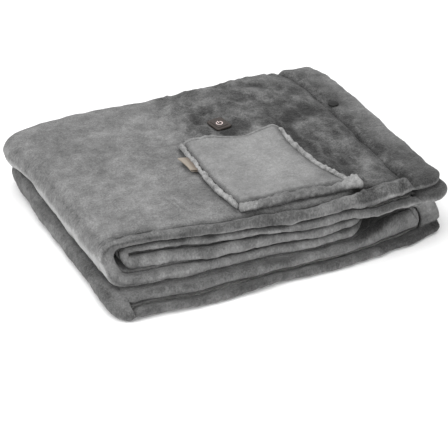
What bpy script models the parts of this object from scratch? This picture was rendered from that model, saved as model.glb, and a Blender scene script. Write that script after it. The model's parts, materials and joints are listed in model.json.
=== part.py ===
"""A heated plush throw lying folded, with a power-bank pocket, a press button and a press stud on its hem.

The throw is one sheet: a face fleece and a lining fleece with a felt carrier and heating pads between them.
It is folded in half along its back edge, and the doubled strip is then folded in thirds like a letter S, so that
six plies lie on each other. Each soft layer is swept: its outline is drawn across the strip, in (y, offset), and
is carried along the strip's folded centreline. Offset is the distance from the centreline, along its normal.
Half A of the sheet is at positive offsets (plies 1, 4 and 5 from the top), half B at negative ones (2, 3 and 6).
"""
import math

import bmesh
import bpy
from mathutils import Matrix, Vector

# Driving dimensions, in metres. The origin is under the middle of the stack, +X towards the hemmed short ends,
# +Y towards the fold along the back, +Z up.
LENGTH_X = 0.486
DEPTH_Y = 0.404
STACK_HEIGHT = 0.079
PLIES = 6
PLY_GAP = 0.0006
GAP = 0.0003

PLY = (STACK_HEIGHT - (PLIES - 1) * PLY_GAP) / PLIES
PITCH = PLY + PLY_GAP
HALF_PLY = PLY / 2
FRONT_Y = -DEPTH_Y / 2
BACK_FOLD_Y = DEPTH_Y / 2 - PITCH + PLY_GAP / 2

# The folded centreline.
TOP_LEVEL_Z = STACK_HEIGHT - PITCH + PLY_GAP / 2
TURN_RADIUS = PITCH
TURN_REACH = 2 * PITCH - PLY_GAP / 2
LEFT_TURN_INSET = 0.004
RIGHT_TURN_INSET = 0.010
LEFT_TURN_X = -LENGTH_X / 2 + LEFT_TURN_INSET + TURN_REACH
RIGHT_TURN_X = LENGTH_X / 2 - RIGHT_TURN_INSET - TURN_REACH
STRIP_START_X = LENGTH_X / 2
STRIP_END_X = -LENGTH_X / 2
LEVEL_1_LENGTH = STRIP_START_X - LEFT_TURN_X
LEVEL_2_LENGTH = RIGHT_TURN_X - LEFT_TURN_X
LEVEL_3_LENGTH = RIGHT_TURN_X - STRIP_END_X
TURN_LENGTH = math.pi * TURN_RADIUS
LEFT_TURN_S = LEVEL_1_LENGTH
LEVEL_2_S = LEFT_TURN_S + TURN_LENGTH
RIGHT_TURN_S = LEVEL_2_S + LEVEL_2_LENGTH
LEVEL_3_S = RIGHT_TURN_S + TURN_LENGTH
STRIP_LENGTH = LEVEL_3_S + LEVEL_3_LENGTH
TURN_STEPS = 12
RUN_STEP = 0.115
FOLD_STEPS = 8

# The front edges. The plies were folded a little askew, so a ply's front edge is set back the further, the higher
# it lies in the stack and the nearer it is to the left turn.
UPPER_SETBACK = 0.020
UPPER_SETBACK_RISE = 0.030
LOW_SKEW = 0.10
HIGH_SKEW = 0.235
SKEW_START_X = 0.058
SKEW_BLEND = 0.030

# Layers of one ply, as distances from its middle, positive towards the face side.
CORE_HALF = 0.0016
CARRIER_LAYER = (-0.0013, -0.0001)
HEATER_LAYER = (0.0002, 0.0013)
FACE_LAYER = (CORE_HALF, HALF_PLY)
LINING_LAYER = (-HALF_PLY, -CORE_HALF)
TOP_PLY_MIDDLE_Z = STACK_HEIGHT - HALF_PLY

# Hems.
LONG_HEM = 0.012
LONG_HEM_GAP = 0.0010
END_HEM = 0.0535
FAR_HEM = 0.024
END_CORNER = 0.014
END_ROUNDING = 0.008
END_NOSE = 0.30
END_STEPS = 7
CORE_INSET = 0.004

# Heating pads, each wrapped over the back fold, and their flat links.
PAD_FRONT_Y = 0.020
TOP_PAD_S = (0.252, 0.405)
MIDDLE_PAD_INSET = 0.030
LOWER_PAD_INSET = 0.035
LINK_WIDTH = 0.005
LINK_Y = 0.050

# Badge with the press button.
BADGE_X = 0.0285
BADGE_Y = 0.0725
BADGE_TURN = math.radians(8)
FRAME_SIZE = (0.0240, 0.0290)
FRAME_CORNER = 0.0040
FRAME_TOP = 0.0022
OPENING_SIZE = (0.0170, 0.0210)
OPENING_CORNER = 0.0026
TRAY_SIZE = (0.0200, 0.0250)
TRAY_CORNER = 0.0022
TRAY_WALL = 0.0012
TRAY_FLOOR = 0.0008
TRAY_DEPTH = 0.0042
TRAY_RIM = 0.0001
BOARD_SIZE = (0.0168, 0.0218)
BOARD_THICKNESS = 0.0008
BUTTON_TRAVEL = 0.0006
CAP_BOTTOM = 0.0014
CAP_TOP = 0.0029
GUIDE_PLATE = 0.0124
GUIDE_PLATE_THICKNESS = 0.0008
ICON_RADIUS = 0.0042
ICON_STROKE = 0.0011
ICON_PROUD = 0.00005
ICON_GAP_HALF_ANGLE = math.radians(35)
ICON_BAR_TOP = 0.0056
ICON_BAR_BOTTOM = 0.0010
ICON_SHIFT_Y = -0.0006
FRAME_EDGE_INSET = 0.0006
CAP_EDGE_INSET = 0.0004
SWITCH_SIDE = 0.0052
SWITCH_CORNER = 0.0004
SWITCH_HEIGHT = 0.0014
SWITCH_BORE_RADIUS = 0.0014
PLUNGER_RADIUS = 0.0010
LAMP_SIZE = (0.0032, 0.0016)
LAMP_CORNER = 0.0003
LAMP_HEIGHT = 0.0008
GUIDE_CORNER = 0.0010

# Pocket, as corners of its outline on the top ply, and the height that its edges hold it up.
POCKET_CORNERS = {
    "back_left": Vector((-0.0455, 0.0425)),
    "back_right": Vector((0.1015, 0.0285)),
    "front_right": Vector((0.1165, -0.1475)),
    "front_left": Vector((-0.0445, -0.1365)),
}
POCKET_SEAM_RADIUS = 0.0034
POCKET_HEM_RADIUS = 0.0040
SEAM_END_CLEARANCE = 0.0010
POCKET_PANEL_LIFT = 0.0048
POCKET_PANEL_THICKNESS = 0.0024
MOUTH_HEM_WIDTH = 0.0060
MOUTH_HEM_THICKNESS = 0.0036
LABEL_CENTRE = (-0.0545, -0.0015)
LABEL_REACH = 0.0120
LABEL_LENGTH = 0.0330
LABEL_THICKNESS = 0.0006
LABEL_LOOP_GAP = 0.0004

# Supply gland in the pocket, and the leads in the core.
GLAND_X = 0.0415
GLAND_Y = -0.1250
GLAND_RADIUS = 0.0040
GLAND_FLANGE_RADIUS = 0.0052
GLAND_FLANGE = 0.0010
GLAND_BORE_RADIUS = 0.0022
LEAD_WIDTH = 0.0046

# Press stud, through the hemmed short ends of both halves.
STUD_X = 0.1985
STUD_Y = 0.0525
CAP_RADIUS = 0.0077
CAP_DOME = 0.0022
CAP_RIM = 0.0008
POST_RADIUS = 0.0014
POST_HOLE_RADIUS = 0.0018
SOCKET_RADIUS = 0.0060
SOCKET_THICKNESS = 0.0034
STUD_FLANGE_THICKNESS = 0.0014
STUD_BALL_RADIUS = 0.0022
STUD_NECK_RADIUS = 0.0018
STUD_TIP_RADIUS = 0.0015
DOME_STEPS = 6

ROUND_STEPS = 32
SMALL_ROUND_STEPS = 20
TOP = STACK_HEIGHT


def clear_scene():
    """Empty the scene that the script starts in."""
    for obj in list(bpy.data.objects):
        bpy.data.objects.remove(obj)


def material(name, colour, roughness, metallic=0.0):
    """A Principled material of one colour."""
    made = bpy.data.materials.new(name)
    made.use_nodes = True
    shader = made.node_tree.nodes["Principled BSDF"]
    shader.inputs["Base Color"].default_value = (*colour, 1.0)
    shader.inputs["Roughness"].default_value = roughness
    shader.inputs["Metallic"].default_value = metallic
    return made


def add_object(name, mesh, look, smooth_angle=40):
    """Link a closed mesh as one named sub-part, with its faces pointing out."""
    work = bmesh.new()
    work.from_mesh(mesh)
    bmesh.ops.recalc_face_normals(work, faces=work.faces)
    work.to_mesh(mesh)
    work.free()
    mesh.shade_smooth()
    mesh.set_sharp_from_angle(angle=math.radians(smooth_angle))
    made = bpy.data.objects.new(name, mesh)
    made.data.materials.append(look)
    bpy.context.scene.collection.objects.link(made)
    return made


def loft(name, rings):
    """A mesh through rings of equally many points, closed by a cap at each end."""
    work = bmesh.new()
    rows = [[work.verts.new(point) for point in ring] for ring in rings]
    count = len(rings[0])
    for lower, upper in zip(rows, rows[1:]):
        for i in range(count):
            j = (i + 1) % count
            work.faces.new((lower[i], lower[j], upper[j], upper[i]))
    work.faces.new(rows[0])
    work.faces.new(rows[-1])
    mesh = bpy.data.meshes.new(name)
    work.to_mesh(mesh)
    work.free()
    return mesh


def apply_boolean(obj, cutter, operation="DIFFERENCE"):
    """Cut or join obj with another object by the exact solver, and remove that object."""
    modifier = obj.modifiers.new(operation.title(), "BOOLEAN")
    modifier.operation = operation
    modifier.solver = "EXACT"
    modifier.object = cutter
    depsgraph = bpy.context.evaluated_depsgraph_get()
    result = bpy.data.meshes.new_from_object(obj.evaluated_get(depsgraph), depsgraph=depsgraph)
    obj.modifiers.clear()
    obj.data = result
    bpy.data.objects.remove(cutter)
    return obj


# The folded centreline and the layers swept along it.


def centreline(s):
    """The centreline's point (x, z) and unit normal (x, z) at distance s from the hemmed short end."""
    if s <= LEFT_TURN_S:
        return (STRIP_START_X - s, TOP_LEVEL_Z), (0.0, 1.0)
    if s <= LEVEL_2_S:
        angle = math.pi / 2 + (s - LEFT_TURN_S) / TURN_RADIUS
        normal = (math.cos(angle), math.sin(angle))
        centre_z = TOP_LEVEL_Z - TURN_RADIUS
        return (LEFT_TURN_X + TURN_RADIUS * normal[0], centre_z + TURN_RADIUS * normal[1]), normal
    if s <= RIGHT_TURN_S:
        return (LEFT_TURN_X + s - LEVEL_2_S, TOP_LEVEL_Z - 2 * PITCH), (0.0, -1.0)
    if s <= LEVEL_3_S:
        angle = math.pi / 2 - (s - RIGHT_TURN_S) / TURN_RADIUS
        outward = (math.cos(angle), math.sin(angle))
        centre_z = TOP_LEVEL_Z - 3 * PITCH
        point = (RIGHT_TURN_X + TURN_RADIUS * outward[0], centre_z + TURN_RADIUS * outward[1])
        return point, (-outward[0], -outward[1])
    return (RIGHT_TURN_X - (s - LEVEL_3_S), TOP_LEVEL_Z - 4 * PITCH), (0.0, 1.0)


def stations(start, end):
    """Distances from start to end: long steps along each straight run, and short ones round each turn."""
    marks = {start, end}
    for run_start, run_length in ((0.0, LEVEL_1_LENGTH), (LEVEL_2_S, LEVEL_2_LENGTH), (LEVEL_3_S, LEVEL_3_LENGTH)):
        count = round(run_length / RUN_STEP)
        marks.update(run_start + run_length * i / count for i in range(count))
    for turn_start in (LEFT_TURN_S, RIGHT_TURN_S):
        marks.update(turn_start + TURN_LENGTH * i / TURN_STEPS for i in range(TURN_STEPS + 1))
    return [mark for mark in sorted(marks) if start <= mark <= end]


def front_edge(s, side):
    """Where the front edge of half A (side 1) or half B (side -1) lies in y, at distance s along the strip."""
    (x, z), (normal_x, normal_z) = centreline(s)
    x += side * PITCH / 2 * normal_x
    z += side * PITCH / 2 * normal_z
    share = min(1.0, max(0.0, z - HALF_PLY) / UPPER_SETBACK_RISE)
    setback = UPPER_SETBACK * share * share * (3 - 2 * share)
    to_left = SKEW_START_X - x
    reach = (to_left + math.hypot(to_left, SKEW_BLEND)) / 2
    skew = LOW_SKEW + (HIGH_SKEW - LOW_SKEW) * z / STACK_HEIGHT
    return FRONT_Y + setback + skew * reach


def ring_at(s, outline):
    """An outline in (y, offset), set across the centreline at distance s."""
    (x, z), (normal_x, normal_z) = centreline(s)
    return [(x + offset * normal_x, y, z + offset * normal_z) for y, offset in outline]


def sweep(name, outline_at, start, end, look):
    """One soft layer: the closed outline that outline_at gives at each distance, from start to end."""
    rings = [ring_at(s, outline_at(s)) for s in stations(start, end)]
    return add_object(name, loft(name, rings), look)


def hairpin(layer, front_a, front_b):
    """The outline of a layer that runs over both halves and round the back fold, from each half's front."""
    inner = PITCH / 2 + layer[0]
    outer = PITCH / 2 + layer[1]
    angles = [-math.pi / 2 + math.pi * i / FOLD_STEPS for i in range(FOLD_STEPS + 1)]
    outline = [(front_b, -outer)]
    outline += [(BACK_FOLD_Y + outer * math.cos(a), outer * math.sin(a)) for a in angles]
    outline += [(front_a, outer), (front_a, inner)]
    outline += [(BACK_FOLD_Y + inner * math.cos(a), inner * math.sin(a)) for a in reversed(angles)]
    outline += [(front_b, -inner)]
    return outline


def sheet_layer(layer, inset=0.0):
    """The outline, by distance, of a layer that reaches from one long hem to the other."""
    inward = LONG_HEM + LONG_HEM_GAP + inset
    return lambda s: hairpin(layer, front_edge(s, 1) + inward, front_edge(s, -1) + inward)


def rolled_hem(side):
    """The outline, by distance, of the rolled hem along the front edge of half A (side 1) or half B (side -1)."""
    middle = side * PITCH / 2
    nose = LONG_HEM / 2
    angles = [math.pi / 2 + math.pi * i / FOLD_STEPS for i in range(FOLD_STEPS + 1)]
    shape = [(nose + nose * math.cos(a), middle + HALF_PLY * math.sin(a)) for a in angles]
    shape += [(LONG_HEM, middle - HALF_PLY), (LONG_HEM, middle + HALF_PLY)]
    return lambda s: [(front_edge(s, side) + inward, offset) for inward, offset in shape]


def end_hem_outline(s, depth):
    """The outline of a short end's hem at a depth in from its edge: over both halves, rounded off at the edge."""
    nose = max(0.0, 1 - depth / END_ROUNDING)
    half = HALF_PLY * max(END_NOSE, math.sqrt(1 - nose * nose))
    corner = max(0.0, 1 - depth / END_CORNER)
    inward = END_CORNER * (1 - math.sqrt(1 - corner * corner)) + LONG_HEM / 2
    angles = [-math.pi / 2 + math.pi * i / FOLD_STEPS for i in range(FOLD_STEPS + 1)]
    outline = []
    for side, order in ((1, angles), (-1, angles[::-1])):
        radius = PITCH / 2 + side * half
        front = front_edge(s, side) + inward
        outline += [(BACK_FOLD_Y + radius * math.cos(a), radius * math.sin(a)) for a in order]
        outline += [(front - LONG_HEM / 2 * math.cos(a), side * PITCH / 2 + half * math.sin(a))
                    for a in angles[::-1]]
    return outline


def sweep_end_hem(name, edge_s, inner_s, look):
    """The hem along one short end, from its rounded edge to where the fleece is sewn in."""
    way = 1 if inner_s > edge_s else -1
    depths = [END_CORNER * (i / END_STEPS) ** 2 for i in range(END_STEPS + 1)] + [abs(inner_s - edge_s)]
    rings = []
    for depth in depths:
        s = edge_s + way * depth
        rings.append(ring_at(s, end_hem_outline(s, depth)))
    return add_object(name, loft(name, rings), look)


def flat_strip(layer, low_y, high_y):
    """The outline of a flat strip in half A, between two distances from the front."""
    middle = PITCH / 2
    return [(low_y, middle + layer[0]), (high_y, middle + layer[0]),
            (high_y, middle + layer[1]), (low_y, middle + layer[1])]


# Small solids.


def rounded_rectangle(size, corner, steps=6):
    """The points of a rectangle with round corners about the origin, counter-clockwise."""
    points = []
    for quarter, (sign_x, sign_y) in enumerate(((1, 1), (-1, 1), (-1, -1), (1, -1))):
        centre = (sign_x * (size[0] / 2 - corner), sign_y * (size[1] / 2 - corner))
        for i in range(steps + 1):
            angle = math.pi / 2 * (quarter + i / steps)
            points.append((centre[0] + corner * math.cos(angle), centre[1] + corner * math.sin(angle)))
    return points


def circle(radius, steps=ROUND_STEPS):
    """The points of a circle about the origin, counter-clockwise."""
    return [(radius * math.cos(2 * math.pi * i / steps), radius * math.sin(2 * math.pi * i / steps))
            for i in range(steps)]


def prism(name, outline, low, high, look, place=None, inset=0.0):
    """An outline raised from low to high, its top edge drawn in by inset, and set at a place."""
    place = place or Matrix.Identity(4)
    rings = [[(x, y, low) for x, y in outline]]
    if inset:
        rings.append([(x, y, high - inset) for x, y in outline])
    reach = max(math.hypot(x, y) for x, y in outline)
    shrink = 1 - inset / reach
    rings.append([(x * shrink, y * shrink, high) for x, y in outline])
    mesh = loft(name, rings)
    mesh.transform(place)
    return add_object(name, mesh, look)


def turned(name, profile, look, place, steps=ROUND_STEPS):
    """A closed (radius, z) profile turned about Z. A profile that starts and ends at radius 0 is solid."""
    work = bmesh.new()
    points = [work.verts.new((radius, 0, z)) for radius, z in profile]
    edges = [work.edges.new(pair) for pair in zip(points, points[1:])]
    if profile[0][0] > 0:
        edges.append(work.edges.new((points[-1], points[0])))
    bmesh.ops.spin(work, geom=points + edges, cent=(0, 0, 0), axis=(0, 0, 1), angle=2 * math.pi,
                   steps=steps, use_merge=True)
    bmesh.ops.remove_doubles(work, verts=work.verts, dist=1e-7)
    mesh = bpy.data.meshes.new(name)
    work.to_mesh(mesh)
    work.free()
    mesh.transform(place)
    return add_object(name, mesh, look)


def bar(name, start, end, radius, look):
    """A round bar with flat ends between two points."""
    along = Vector(end) - Vector(start)
    place = Matrix.Translation(Vector(start)) @ along.to_track_quat("Z", "Y").to_matrix().to_4x4()
    return prism(name, circle(radius, SMALL_ROUND_STEPS), 0.0, along.length, look, place)


def flat_box(name, low, high, look):
    """A box between two corners."""
    outline = [(low[0], low[1]), (high[0], low[1]), (high[0], high[1]), (low[0], high[1])]
    return prism(name, outline, low[2], high[2], look)


# The sheet.


def make_sheet(looks):
    """Face fleece, lining fleece and felt carrier, with the hems along the front and at both short ends."""
    body_start = END_HEM + GAP
    body_end = STRIP_LENGTH - FAR_HEM - GAP
    sweep("face_fleece", sheet_layer(FACE_LAYER), body_start, body_end, looks["fleece"])
    sweep("lining_fleece", sheet_layer(LINING_LAYER), body_start, body_end, looks["lining"])
    sweep("heater_carrier_felt", sheet_layer(CARRIER_LAYER, CORE_INSET), body_start + CORE_INSET,
          body_end - CORE_INSET, looks["felt"])
    sweep("long_hem_half_a", rolled_hem(1), body_start, body_end, looks["fleece"])
    sweep("long_hem_half_b", rolled_hem(-1), body_start, body_end, looks["fleece"])
    sweep_end_hem("snap_end_hem", 0.0, END_HEM, looks["fleece"])
    sweep_end_hem("far_end_hem", STRIP_LENGTH, STRIP_LENGTH - FAR_HEM, looks["fleece"])


def make_heater(looks):
    """Three heating pads over the back fold, the flat links between them, and the overheat sensor."""
    middle_pad = (LEVEL_2_S + MIDDLE_PAD_INSET, RIGHT_TURN_S - MIDDLE_PAD_INSET)
    lower_pad = (LEVEL_3_S + LOWER_PAD_INSET, STRIP_LENGTH - FAR_HEM - LOWER_PAD_INSET)
    pads = {"heating_pad_top": TOP_PAD_S, "heating_pad_middle": middle_pad, "heating_pad_lower": lower_pad}
    pad_outline = hairpin(HEATER_LAYER, PAD_FRONT_Y, PAD_FRONT_Y)
    for name, (start, end) in pads.items():
        sweep(name, lambda s: pad_outline, start, end, looks["carbon"])
    link_outline = flat_strip(HEATER_LAYER, LINK_Y, LINK_Y + LINK_WIDTH)
    sweep("pad_link_left_turn", lambda s: link_outline, TOP_PAD_S[1] + GAP, middle_pad[0] - GAP, looks["lead"])
    sweep("pad_link_right_turn", lambda s: link_outline, middle_pad[1] + GAP, lower_pad[0] - GAP, looks["lead"])
    sensor_x = STRIP_START_X - TOP_PAD_S[0] + GAP
    sensor_low = (sensor_x, LINK_Y, TOP_PLY_MIDDLE_Z + HEATER_LAYER[0])
    sensor_high = (sensor_x + LINK_WIDTH, LINK_Y + 2 * LINK_WIDTH, TOP_PLY_MIDDLE_Z + HEATER_LAYER[1])
    flat_box("overheat_sensor", sensor_low, sensor_high, looks["board"])


def make_leads(looks):
    """The lead from the gland to the controller, and the one from the controller to the top heating pad."""
    low_z = TOP_PLY_MIDDLE_Z + HEATER_LAYER[0]
    high_z = TOP_PLY_MIDDLE_Z + HEATER_LAYER[1]
    half = LEAD_WIDTH / 2
    supply_low = (GLAND_X - half, GLAND_Y - half, low_z)
    supply_high = (GLAND_X + half, BADGE_Y - TRAY_SIZE[1] / 4, high_z)
    flat_box("supply_lead", supply_low, supply_high, looks["lead"])
    pad_edge_x = STRIP_START_X - TOP_PAD_S[0] + GAP
    heater_low = (pad_edge_x, BADGE_Y + half, low_z)
    heater_high = (BADGE_X + LEAD_WIDTH, BADGE_Y + half + LEAD_WIDTH, high_z)
    flat_box("heater_lead", heater_low, heater_high, looks["lead"])


# The controller in the top ply.


def badge_place():
    """The badge's own frame on the top of the stack."""
    return Matrix.Translation((BADGE_X, BADGE_Y, TOP)) @ Matrix.Rotation(BADGE_TURN, 4, "Z")


def make_controller(looks):
    """The tray let into the face fleece, with the circuit board, switch and lamp, under the badge frame."""
    place = badge_place()
    hole_size = (TRAY_SIZE[0] + 2 * GAP, TRAY_SIZE[1] + 2 * GAP)
    hole = prism("tray_hole", rounded_rectangle(hole_size, TRAY_CORNER + GAP), -HALF_PLY, HALF_PLY,
                 looks["tray"], place)
    apply_boolean(bpy.data.objects["face_fleece"], hole)
    tray = prism("controller_tray", rounded_rectangle(TRAY_SIZE, TRAY_CORNER), -TRAY_DEPTH, -TRAY_RIM,
                 looks["tray"], place)
    room_size = (TRAY_SIZE[0] - 2 * TRAY_WALL, TRAY_SIZE[1] - 2 * TRAY_WALL)
    room = prism("tray_room", rounded_rectangle(room_size, TRAY_CORNER - TRAY_WALL),
                 -TRAY_DEPTH + TRAY_FLOOR, HALF_PLY, looks["tray"], place)
    apply_boolean(tray, room)
    board_low = -TRAY_DEPTH + TRAY_FLOOR + GAP
    board_high = board_low + BOARD_THICKNESS
    prism("control_board", rounded_rectangle(BOARD_SIZE, OPENING_CORNER / 2), board_low, board_high,
          looks["board"], place)
    make_switch(looks, place, board_high + GAP)
    frame = prism("badge_frame", rounded_rectangle(FRAME_SIZE, FRAME_CORNER), GAP, FRAME_TOP,
                  looks["badge"], place, inset=FRAME_EDGE_INSET)
    window = prism("frame_window", rounded_rectangle(OPENING_SIZE, OPENING_CORNER), -FRAME_TOP,
                   2 * FRAME_TOP, looks["badge"], place)
    apply_boolean(frame, window)


def make_switch(looks, place, low):
    """The tactile switch's body with its bore, and the status lamp beside it."""
    high = low + SWITCH_HEIGHT
    body = prism("tactile_switch", rounded_rectangle((SWITCH_SIDE, SWITCH_SIDE), SWITCH_CORNER, 2), low, high,
                 looks["switch"], place)
    bore = prism("switch_bore", circle(SWITCH_BORE_RADIUS), low - HALF_PLY, high + HALF_PLY,
                 looks["switch"], place)
    apply_boolean(body, bore)
    lamp_place = place @ Matrix.Translation((0, OPENING_SIZE[1] / 4, 0))
    prism("status_lamp", rounded_rectangle(LAMP_SIZE, LAMP_CORNER, 2), low, low + LAMP_HEIGHT,
          looks["lens"], lamp_place)


def icon_arc_outline(clearance=0.0):
    """The open ring of the power symbol, widened by a clearance on every side."""
    outer = ICON_RADIUS + ICON_STROKE / 2 + clearance
    inner = ICON_RADIUS - ICON_STROKE / 2 - clearance
    edge = ICON_GAP_HALF_ANGLE - clearance / ICON_RADIUS
    steps = ROUND_STEPS
    angles = [math.pi / 2 + edge + (2 * math.pi - 2 * edge) * i / steps for i in range(steps + 1)]
    outline = [(outer * math.cos(a), outer * math.sin(a) + ICON_SHIFT_Y) for a in angles]
    outline += [(inner * math.cos(a), inner * math.sin(a) + ICON_SHIFT_Y) for a in reversed(angles)]
    return outline


def icon_bar_outline(clearance=0.0):
    """The upright bar of the power symbol, widened by a clearance on every side."""
    half = ICON_STROKE / 2 + clearance
    low = ICON_BAR_BOTTOM - clearance + ICON_SHIFT_Y
    high = ICON_BAR_TOP + clearance + ICON_SHIFT_Y
    return [(-half, low), (half, low), (half, high), (-half, high)]


def make_button(looks):
    """What the finger moves: the cap with its slots, the light guide that fills them, and the plunger."""
    place = badge_place()
    cap_size = (OPENING_SIZE[0] - 2 * GAP, OPENING_SIZE[1] - 2 * GAP)
    cap = prism("power_button", rounded_rectangle(cap_size, OPENING_CORNER - GAP), CAP_BOTTOM, CAP_TOP,
                looks["badge"], place, inset=CAP_EDGE_INSET)
    for outline in (icon_arc_outline(GAP), icon_bar_outline(GAP)):
        slot = prism("icon_slot", outline, CAP_BOTTOM - CAP_TOP, 2 * CAP_TOP, looks["badge"], place)
        apply_boolean(cap, slot)
    plate_low = CAP_BOTTOM - GAP - GUIDE_PLATE_THICKNESS
    guide = prism("icon_light_guide", rounded_rectangle((GUIDE_PLATE, GUIDE_PLATE), GUIDE_CORNER), plate_low,
                  CAP_BOTTOM - GAP, looks["lens"], place)
    plate_middle = CAP_BOTTOM - GAP - GUIDE_PLATE_THICKNESS / 2
    for outline in (icon_arc_outline(), icon_bar_outline()):
        rib = prism("icon_rib", outline, plate_middle, CAP_TOP + ICON_PROUD, looks["lens"], place)
        apply_boolean(guide, rib, "UNION")
    board_high = -TRAY_DEPTH + TRAY_FLOOR + GAP + BOARD_THICKNESS
    prism("switch_plunger", circle(PLUNGER_RADIUS, SMALL_ROUND_STEPS), board_high + BUTTON_TRAVEL + GAP / 2,
          plate_low - GAP / 2, looks["switch"], place)


# The pocket.


def make_pocket(looks):
    """The pocket's panel, its rolled side seams, its front hem, and the hem of its mouth."""
    corners = POCKET_CORNERS
    seam_z = TOP + GAP + POCKET_SEAM_RADIUS
    hem_z = TOP + GAP + POCKET_HEM_RADIUS
    for side in ("left", "right"):
        back = corners[f"back_{side}"]
        front = corners[f"front_{side}"]
        along = (front - back).normalized()
        end = front - along * (POCKET_HEM_RADIUS + SEAM_END_CLEARANCE)
        bar(f"pocket_seam_{side}", (*back, seam_z), (*end, seam_z), POCKET_SEAM_RADIUS, looks["pocket"])
    bar("pocket_front_hem", (*corners["front_left"], hem_z), (*corners["front_right"], hem_z),
        POCKET_HEM_RADIUS, looks["pocket"])
    make_pocket_panel(looks)


def pocket_point(across, along, side_inset, front_inset):
    """A point of the pocket: across from left to right, along from back to front, inside its edges."""
    corners = POCKET_CORNERS
    left = corners["back_left"].lerp(corners["front_left"], along)
    right = corners["back_right"].lerp(corners["front_right"], along)
    inward = (right - left).normalized() * side_inset
    left = left + inward
    right = right - inward
    point = left.lerp(right, across)
    return (point.x, point.y + front_inset)


def make_pocket_panel(looks):
    """The panel, held between the seams, and the mouth hem along its back edge."""
    side_inset = POCKET_SEAM_RADIUS + GAP
    front_inset = POCKET_HEM_RADIUS + GAP
    mouth_share = MOUTH_HEM_WIDTH / (POCKET_CORNERS["back_left"] - POCKET_CORNERS["front_left"]).length
    panel_back = mouth_share + 2 * GAP / DEPTH_Y
    panel = [pocket_point(0, panel_back, side_inset, 0), pocket_point(0, 1, side_inset, front_inset),
             pocket_point(1, 1, side_inset, front_inset), pocket_point(1, panel_back, side_inset, 0)]
    low = TOP + POCKET_PANEL_LIFT
    prism("pocket_panel", panel, low, low + POCKET_PANEL_THICKNESS, looks["pocket"])
    mouth = [pocket_point(0, 0, side_inset, 0), pocket_point(0, mouth_share, side_inset, 0),
             pocket_point(1, mouth_share, side_inset, 0), pocket_point(1, 0, side_inset, 0)]
    prism("pocket_mouth_hem", mouth, low, low + MOUTH_HEM_THICKNESS, looks["pocket"])


def make_label(looks):
    """The woven label, a folded loop that stands out to the left of the pocket's left seam."""
    outer = LABEL_THICKNESS + LABEL_LOOP_GAP / 2
    inner = LABEL_LOOP_GAP / 2
    steps = FOLD_STEPS
    angles = [math.pi / 2 + math.pi * i / steps for i in range(steps + 1)]
    nose_x = -LABEL_REACH / 2 + outer
    outline = [(LABEL_REACH / 2, outer)]
    outline += [(nose_x + outer * math.cos(a), outer * math.sin(a)) for a in angles]
    outline += [(LABEL_REACH / 2, -outer), (LABEL_REACH / 2, -inner)]
    outline += [(nose_x + inner * math.cos(a), inner * math.sin(a)) for a in reversed(angles)]
    outline += [(LABEL_REACH / 2, inner)]
    stand_up = Matrix.Rotation(math.pi / 2, 4, "X")
    back = POCKET_CORNERS["back_left"]
    front = POCKET_CORNERS["front_left"]
    lean = math.atan2(front.x - back.x, back.y - front.y)
    middle = Matrix.Translation((*LABEL_CENTRE, TOP + GAP + outer)) @ Matrix.Rotation(lean, 4, "Z")
    prism("loop_label", outline, -LABEL_LENGTH / 2, LABEL_LENGTH / 2, looks["label"], middle @ stand_up)


def make_gland(looks):
    """The moulded ring in the pocket that the supply plugs through, let into the face fleece."""
    place = Matrix.Translation((GLAND_X, GLAND_Y, TOP))
    hole = prism("gland_hole", circle(GLAND_RADIUS + GAP), -HALF_PLY, HALF_PLY, looks["tray"], place)
    apply_boolean(bpy.data.objects["face_fleece"], hole)
    profile = [(GLAND_BORE_RADIUS, -TRAY_DEPTH), (GLAND_RADIUS, -TRAY_DEPTH), (GLAND_RADIUS, GAP),
               (GLAND_FLANGE_RADIUS, GAP), (GLAND_FLANGE_RADIUS, GAP + GLAND_FLANGE),
               (GLAND_BORE_RADIUS, GAP + GLAND_FLANGE)]
    turned("supply_gland", profile, looks["tray"], place)


# The press stud.


def make_stud(looks):
    """The press stud: cap and socket through half A's short hem, stud and back cap through half B's."""
    upper = TOP
    upper_bottom = TOP - PLY
    lower = upper_bottom - PLY_GAP
    lower_bottom = lower - PLY
    place = Matrix.Translation((STUD_X, STUD_Y, 0))
    recess = SOCKET_RADIUS + GAP
    back_recess = CAP_RADIUS + GAP
    back_depth = CAP_RIM + CAP_DOME + GAP
    cuts = [(POST_HOLE_RADIUS, lower_bottom - GAP, upper + GAP),
            (recess, upper_bottom - GAP, upper_bottom + SOCKET_THICKNESS + GAP),
            (recess, lower - STUD_FLANGE_THICKNESS - GAP, lower + GAP),
            (back_recess, lower_bottom - GAP, lower_bottom + back_depth)]
    hem = bpy.data.objects["snap_end_hem"]
    for radius, low, high in cuts:
        apply_boolean(hem, prism("stud_cut", circle(radius), low, high, looks["stud"], place))
    make_stud_cap("snap_cap", upper + GAP, 1, upper_bottom + SOCKET_THICKNESS + 2 * GAP, looks, place)
    make_stud_socket(looks, place, upper_bottom)
    make_stud_ball(looks, place, lower)
    make_stud_cap("snap_back_cap", lower_bottom + back_depth - GAP, -1,
                  lower - STUD_FLANGE_THICKNESS - 2 * GAP, looks, place)


def make_stud_cap(name, face_z, way, post_end, looks, place):
    """A domed cap whose flat side is at face_z, doming up (way 1) or down (-1), with its post."""
    angles = [math.pi / 2 * i / DOME_STEPS for i in range(DOME_STEPS)]
    dome = [(CAP_RADIUS * math.cos(a), face_z + way * (CAP_RIM + (CAP_DOME - CAP_RIM) * math.sin(a))) for a in angles]
    profile = [(0.0, post_end), (POST_RADIUS, post_end), (POST_RADIUS, face_z), (CAP_RADIUS, face_z)]
    profile += dome
    profile += [(0.0, face_z + way * CAP_DOME)]
    turned(name, profile, looks["stud"], place, SMALL_ROUND_STEPS)


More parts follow.
